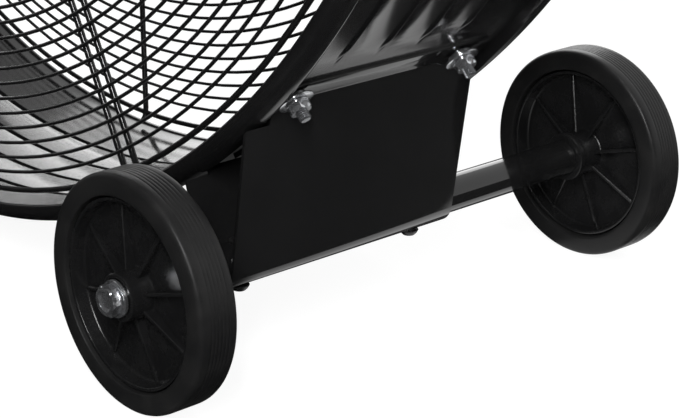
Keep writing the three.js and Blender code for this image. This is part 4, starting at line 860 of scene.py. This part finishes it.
bellLine = [(9, 0, 0.5), (24, 0, 1), (27, 2.6, 2), (42, 2.6, 3), (46, 0, 2), (62, 0, 6), (84, 8, 5),
            (84, 20, 0.6), (76, 20), (70, 12, 2), (26.3, 12, 1), (26.3, 20), (20.3, 20), (20.3, 6),
            (9, 6, 0.5)]
for end, y, turn in (("front", m["front"], Matrix()), ("rear", m["rear"], Matrix.Rotation(pi, 4, "X"))):
    here = Matrix.Translation(drumMiddle + Vector((0, y, 0))) @ turn
    bell = Shape(here).lathe(rounded(bellLine, steps=4), steps=128)
    piece("motor_" + end + "_bell", bell, "castPaint", name="motorBell" + end.title())
    tie = Shape(flipped(here @ Matrix.Translation((m["tieRadius"], 3.4, 0))))
    tie.rod(5, -3, 0.4, edge=0.3, steps=28).hexNut(8, 0.3, 2.9)
    piece(None, tie, "brightZinc", name="motorTies" + end.title(), trees=[aroundY(m["ties"], drumMiddle)])
for place, turn in (("upper", Matrix()), ("lower", Matrix.Rotation(pi, 4, "Y"))):
    seat = upright((m["screwX"], m["screwY"], m["screwSeat"]))
    screw = hexScrew(Matrix.Translation(drumMiddle) @ turn @ seat, m["screw"])
    piece("motor_screw_" + place, screw, "brightZinc")
shaft = at(drumMiddle)
shaft.lathe([(0, 94), (7.4, 94), (8, 93.4), (8, -55.4), (7.4, -56), (3.6, -56), (3.6, -35), (0, -35)],
            steps=64)
piece("motor_shaft", shaft, "groundSteel", body="fan")
print("motor done")

fan = dict(plane=-36, root=60, tip=542, rootChord=150, tipChord=300, sheet=2.5, rootPitch=24, tipPitch=17,
           camber=14, flat=170, taper=1.6, gap=17, armSheet=5, boss=30, bossHalf=26, rivet=5.5, sections=30,
           chordSteps=28, rivets=(74, 104, 134), rivetSide=19, screwFront=-62.3, screw=20)


def bladePoint(radius, chord, lift):  # out along -Z, across the chord and off the blade's middle surface
    f = fan
    share = min(max((radius - f["flat"]) / (f["tip"] - f["flat"]), 0), 1)
    ramp = share * share * (3 - 2 * share)
    pitch = radians(f["rootPitch"] + (f["tipPitch"] - f["rootPitch"]) * ramp)
    off = lift + f["camber"] * ramp * (1 - (chord * 2 / f["tipChord"]) ** 2)
    return Vector((cos(pitch) * chord + sin(pitch) * off, sin(pitch) * chord - cos(pitch) * off, -radius))


def bladeHalf(radius):  # half of the chord, with the tip's corners rounded off
    f = fan
    share = (radius - f["root"]) / (f["tip"] - f["root"])
    chord = f["rootChord"] + (f["tipChord"] - f["rootChord"]) * sin(share * pi / 2)
    corner = max(radius - f["tip"] + 24, 0)
    return chord * (1 - max(share - 0.9, 0) * f["taper"]) / 2 - (24 - sqrt(24 ** 2 - corner ** 2)) * 0.5


def bladeTurn(k):
    return (Matrix.Translation(drumMiddle + Vector((0, fan["plane"], 0)))
            @ Matrix.Rotation(-radians(fan["gap"] + 60 + 120 * k), 4, "Y"))


for k in range(3):
    rings = []
    for step in range(fan["sections"] + 1):
        share = step / fan["sections"]
        radius = fan["root"] + (fan["tip"] - fan["root"]) * (1 - (1 - share) ** 1.5)
        half = bladeHalf(radius)
        steps = fan["chordSteps"]
        spread = [half * sin(pi / 2 * (2 * j / steps - 1)) for j in range(steps + 1)]
        thick = [min(1.0, 0.35 + (half - abs(chord)) / 2) * fan["sheet"] / 2 for chord in spread]
        upper = [bladePoint(radius, chord, lift) for chord, lift in zip(spread, thick)]
        lower = [bladePoint(radius, chord, -lift) for chord, lift in zip(spread, thick)]
        rings.append(upper + lower[::-1])
    piece("fan_blade_%d" % (k + 1), Shape(bladeTurn(k)).skin(rings), "millAluminium", body="fan", sharp=35)

arm = Shape(bladeTurn(0))
lift = fan["sheet"] / 2 + 0.3
rings = []
for radius, half in ((12, 30), (60, 31), (120, 32), (138, 31), (146, 25), (150, 16)):
    low, high = -lift - fan["armSheet"], -lift
    rings.append([bladePoint(radius, chord, off) for chord, off in
                  ((-half, low + 0.6), (-half + 0.6, low), (half - 0.6, low), (half, low + 0.6),
                   (half, high - 0.6), (half - 0.6, high), (-half + 0.6, high), (-half, high - 0.6))])
arm.skin(rings)
for radius in fan["rivets"]:
    for chord in (-fan["rivetSide"], fan["rivetSide"]):
        out = (bladePoint(radius, chord, 1) - bladePoint(radius, chord, 0)).normalized()
        arm.put(bladeTurn(0) @ facing(out, bladePoint(radius, chord, 0)))
        arm.lathe([(0, -8), (fan["rivet"] * 0.5, -8), (fan["rivet"] * 0.5, 1.2), (fan["rivet"], 1.3),
                   (fan["rivet"] * 0.92, 2.3), (fan["rivet"] * 0.6, 3.4), (0, 3.9)], steps=28)
arm.put(bladeTurn(0))
piece(None, arm, "castPaint", name="fanArms", body="fan", sharp=35, trees=[aroundY(3, drumMiddle)])
boss = at(drumMiddle + Vector((0, fan["plane"], 0)))
f = fan
boss.lathe(rounded([(3.1, -f["bossHalf"]), (18, -f["bossHalf"], 0.8), (20, -f["bossHalf"] + 3, 1),
                    (f["boss"] - 3, -f["bossHalf"] + 3, 2), (f["boss"], -f["bossHalf"] + 12, 4),
                    (f["boss"], f["bossHalf"], 1.5), (8.3, f["bossHalf"], 0.6), (8.3, -f["bossHalf"] + 6),
                    (3.1, -f["bossHalf"] + 6)], steps=4), steps=96)
piece("fan_hub", boss, "castPaint", body="fan")
seat = Matrix.Translation(drumMiddle + Vector((0, f["screwFront"], 0)))
screw = hexScrew(flipped(seat), f["screw"], radius=3, across=10.4, high=4)
piece("hub_screw", screw, "brightZinc", body="fan")
print("fan wheel done")

box = dict(angle=145, out=574.51 + 26, width=56, half=63, height=52, wall=2.5, corner=4, coverFront=-66.3,
           cover=3, knob=17, knobHigh=16, skirt=4, ridges=30, bore=4.3, markOut=20.5)
b = box
seat = drumPoint(-b["angle"], b["out"])
out = (drumPoint(-b["angle"], b["out"] + 1) - seat).normalized()
boxTurn = basis(Vector((0, 1, 0)).cross(out), Vector((0, 1, 0)), out, seat)


def boxLoop(inset, corner, y):
    w, t = b["width"] / 2 - inset, b["height"] / 2 - inset
    return [(x, y, z) for x, z in rounded([(-w, -t, corner), (w, -t, corner), (w, t, corner),
                                           (-w, t, corner)], steps=5)]


shell = Shape(boxTurn)
shell.skin([boxLoop(b["wall"], 1.6, b["half"] - b["wall"]), boxLoop(b["wall"], 1.6, -b["half"]),
            boxLoop(0, b["corner"], -b["half"]), boxLoop(0, b["corner"], b["half"] - 1.2),
            boxLoop(1.2, b["corner"] - 1, b["half"])])
piece("switch_box", shell, "enamel", sharp=50)
cover = Shape(boxTurn)
front = b["coverFront"]
cover.skin([boxLoop(0, b["corner"], front + b["cover"]), boxLoop(0, b["corner"], front + 0.9),
            boxLoop(0.9, b["corner"] - 0.6, front)])
for turn in (0, 60, 120):  # raised marks of the switch's places, left blank
    a = radians(turn - 60)
    mark = Matrix.Translation((b["markOut"] * sin(a), front - 0.2, b["markOut"] * cos(a)))
    cover.put(boxTurn @ (mark @ Matrix.Rotation(a, 4, "Y"))).block((1.4, 0.8, 4), edge=0.5)
piece("switch_cover", cover, "satinMoulding")
back = front - 0.3
knob = Shape(boxTurn)
knob.lathe(rounded([(b["bore"], back, 0.3), (b["knob"], back, 0.8), (b["knob"], back - b["skirt"], 1.2),
                    (15.2, back - b["skirt"] - 0.5, 0.8), (14.2, back - b["knobHigh"], 2),
                    (0, back - b["knobHigh"]), (0, back - b["knobHigh"] + 4),
                    (b["bore"], back - b["knobHigh"] + 4)], steps=4), steps=96)
knob.put(boxTurn @ Matrix.Translation((0, back - b["skirt"] - 6, 13.2))).block((3.4, 11.6, 8), edge=1.2)
piece("switch_knob", knob, "satinMoulding", body="knob")
ridge = Shape(boxTurn @ Matrix.Translation((0, back - b["skirt"] - 5.5, 14.7)))
ridge.rod(0.9, -4.6, 4.6, edge=0.5, steps=10)
piece(None, ridge, "satinMoulding", name="knobRidges", body="knob", trees=[aroundY(b["ridges"], seat)])
gland = Shape(boxTurn)
gland.rod(8, 58, 64, edge=0.3, steps=40).hexNut(22.5, 63.3, 71.4, chamfer=0.08)
gland.lathe(rounded([(5, 67), (5, 85, 0.5), (8.2, 85, 1.4), (10.3, 82, 2), (10.8, 71), (6, 70), (5, 67)],
                    steps=4), steps=56)
piece("cable_gland", gland, "satinMoulding")

lead = dict(radius=4, lay=564.3, y=20, bend=9, lift=2, x=-20, wall=(141, 138, 131, 124, 117, 110),
            layY=59.1, strutTop=699.67, motorTop=689, start=577.0, climbX=-489, crestX=-462)


def smoothed(path, steps=6):  # a smooth curve through a row of points
    made = []
    for k in range(len(path) - 1):
        a, b, c, d = path[max(k - 1, 0)], path[k], path[k + 1], path[min(k + 2, len(path) - 1)]
        for step in range(steps):
            t = step / steps
            made.append(0.5 * (2 * b + (c - a) * t + (2 * a - 5 * b + 4 * c - d) * t ** 2
                               + (3 * b - a - 3 * c + d) * t ** 3))
    return made + [path[-1]]


def leadPath():
    d = lead
    entry = d["y"] + 1.5 * d["bend"]
    lay = d["strutTop"] + d["radius"] + d["lift"]
    over = lambda x, z: Vector((x, d["layY"], z))
    wall = [drumPoint(-angle, d["lay"], y=entry + (d["layY"] - entry) * min(k / 3, 1))
            for k, angle in enumerate(d["wall"])]
    turn = [over(d["x"] - d["bend"] + d["bend"] * sin(a),
                 d["strutTop"] + d["lift"] / 2 + d["bend"] * cos(a)) for a in (0, pi / 6, pi / 3, pi / 2)]
    return [drumPoint(-b["angle"], d["start"], y=d["y"]),
            drumPoint(-b["angle"], d["lay"] + d["lift"], y=d["y"]),
            drumPoint(-b["angle"] + d["lift"], d["lay"] - 6, y=d["y"] + 6), *wall,
            over(d["climbX"], lay + 1.5 * d["bend"]), over(d["crestX"], lay),
            over(d["x"] - 4 * d["bend"], lay), *turn, over(d["x"], d["motorTop"])]


cable = Shape().pipe(smoothed(leadPath()), lead["radius"], (0, 1, 0), steps=16)
piece("motor_lead", cable, "mattRubber")

hidden = dict(motor_stator="enamelledWire", motor_rotor="millAluminium", motor_bearing_front="groundSteel",
              motor_bearing_rear="groundSteel", rotary_switch="satinMoulding", run_capacitor="millAluminium")
for node, look in hidden.items():  # pieces inside the motor and the box stay as they are
    materials = frame["nodes"][node].data.materials
    materials.clear()
    materials.append(finish[look])
print("switch box done")

cameraLook = dict(place=(1259.4, -806.3, 533.1), yaw=48.354, pitch=-20.284, lens=104.74)


def addCamera():
    data = bpy.data.cameras.new("camera")
    data.lens, data.sensor_width, data.clip_start, data.clip_end = cameraLook["lens"], 36, 0.05, 60
    made = newObject("camera", data)
    yaw, pitch = radians(cameraLook["yaw"]), radians(cameraLook["pitch"])
    ahead = Vector((-sin(yaw) * cos(pitch), cos(yaw) * cos(pitch), sin(pitch)))
    right = Vector((cos(yaw), sin(yaw), 0))
    spot = origin + Vector(cameraLook["place"]) * mm
    made.matrix_world = basis(right, right.cross(ahead), -ahead, spot)
    bpy.context.scene.camera = made


def softbox(name, place, target, size, power):
    data = bpy.data.lights.new(name, "AREA")
    data.shape, data.size, data.size_y, data.energy = "RECTANGLE", size[0], size[1], power
    made = newObject(name, data)
    made.location = place
    made.rotation_euler = (Vector(target) - Vector(place)).to_track_quat("-Z", "Y").to_euler()


# the white backdrop stands behind the fan, and gloss that faces the camera's side meets a darker room
# in gloss the floor is painted dark outside a strip across x and towards the front: a painted shadow of the
# fan, at the darker room's tone
studio = dict(floorGlow=0.93, floorShare=0.16, floorTone=0.7, ambient=0.28, floorSize=14,
              floorLeft=(0.348, 0.360), floorRight=(0.409, 0.421), floorFront=(-0.110, -0.080),
              backdropSide=(-0.30, 0.95, 0.0), backdropEdge=(-0.05, 0.35), roomTone=0.05, lamps=[
                  ("keyLight", (2.13, -1.75, 1.89), (0.2, -0.14, 0.25), (0.3, 1.5), 80),
                  ("topLight", (0.9, 0.1, 3.0), (0.3, 0, 0.3), (0.6, 1.6), 16),
                  ("backLight", (-2.4, 2.1, 1.3), (0, 0, 0.2), (2.6, 1.8), 34)])


def seenRays(board):  # rays straight from the camera, and rays that gloss or glass sends on
    straight = board.add("ShaderNodeLightPath", output="Is Camera Ray")
    outputs = straight.socket.node.outputs
    total = Wire(board, outputs["Is Glossy Ray"]) + Wire(board, outputs["Is Transmission Ray"])
    return straight, board.add("ShaderNodeMath", {0: total, 1: 1 - straight},
                               settings={"operation": "MINIMUM"})


def fade(board, value, edge, near, far):
    return board.add("ShaderNodeMapRange", {"Value": value, "From Min": edge[0], "From Max": edge[1],
                                            "To Min": near, "To Max": far},
                     settings={"interpolation_type": "SMOOTHSTEP"})


def addFloor():
    material = bpy.data.materials.new("floor")
    material.use_nodes = True
    board = Board(material.node_tree)
    material.node_tree.nodes.remove(material.node_tree.nodes["Principled BSDF"])
    straight, mirrored = seenRays(board)
    across = board.add("ShaderNodeSeparateXYZ", {0: board.add("ShaderNodeTexCoord", output="Object")})
    depth = Wire(board, across.socket.node.outputs["Y"])
    # painted shadow: gloss sees the floor dark except in a strip across x and behind the front edge, standing
    # in for the fan's shadow on the floor
    paintedLitStrip = (fade(board, across, studio["floorLeft"], studio["roomTone"], 1.0)
           * fade(board, across, studio["floorRight"], 1.0, studio["roomTone"]))
    seen = straight + mirrored * paintedLitStrip * fade(board, depth, studio["floorFront"], studio["roomTone"], 1.0)
    tone = seen * studio["floorShare"] + (1 - straight - mirrored) * studio["floorTone"]
    white = board.add("ShaderNodeEmission", {"Color": (1, 1, 1, 1), "Strength": seen * studio["floorGlow"]})
    paper = board.add("ShaderNodeBsdfDiffuse",
                      {"Color": board.add("ShaderNodeCombineXYZ", {"X": tone, "Y": tone, "Z": tone})})
    both = board.add("ShaderNodeAddShader", {0: white, 1: paper})
    board.tree.links.new(both.socket, material.node_tree.nodes["Material Output"].inputs["Surface"])
    reach = studio["floorSize"] / 2
    mesh = bpy.data.meshes.new("floor")
    corners = [(x * reach, y * reach, 0) for x, y in ((-1, -1), (1, -1), (1, 1), (-1, 1))]
    mesh.from_pydata(corners, [], [(0, 1, 2, 3)])
    made = newObject("floor", mesh)
    mesh.materials.append(material)


def addWorld():
    world = bpy.data.worlds.new("studio")
    bpy.context.scene.world = world
    world.use_nodes = True
    board = Board(world.node_tree)
    straight, mirrored = seenRays(board)
    way = board.add("ShaderNodeTexCoord", output="Generated")
    facing = board.add("ShaderNodeVectorMath", {0: way, 1: studio["backdropSide"]},
                       settings={"operation": "DOT_PRODUCT"}, output="Value")
    sky = world.node_tree.nodes["Background"]
    sky.inputs["Color"].default_value = (1, 1, 1, 1)
    backdrop = mirrored * fade(board, facing, studio["backdropEdge"], studio["roomTone"], 1.0)
    strength = straight + backdrop + (1 - straight - mirrored) * studio["ambient"]
    board.tree.links.new(strength.socket, sky.inputs["Strength"])


addCamera()
addFloor()
addWorld()
for name, place, target, size, power in studio["lamps"]:
    softbox(name, place, target, size, power)
bpy.context.scene.view_settings.view_transform = "Standard"
print("studio done")
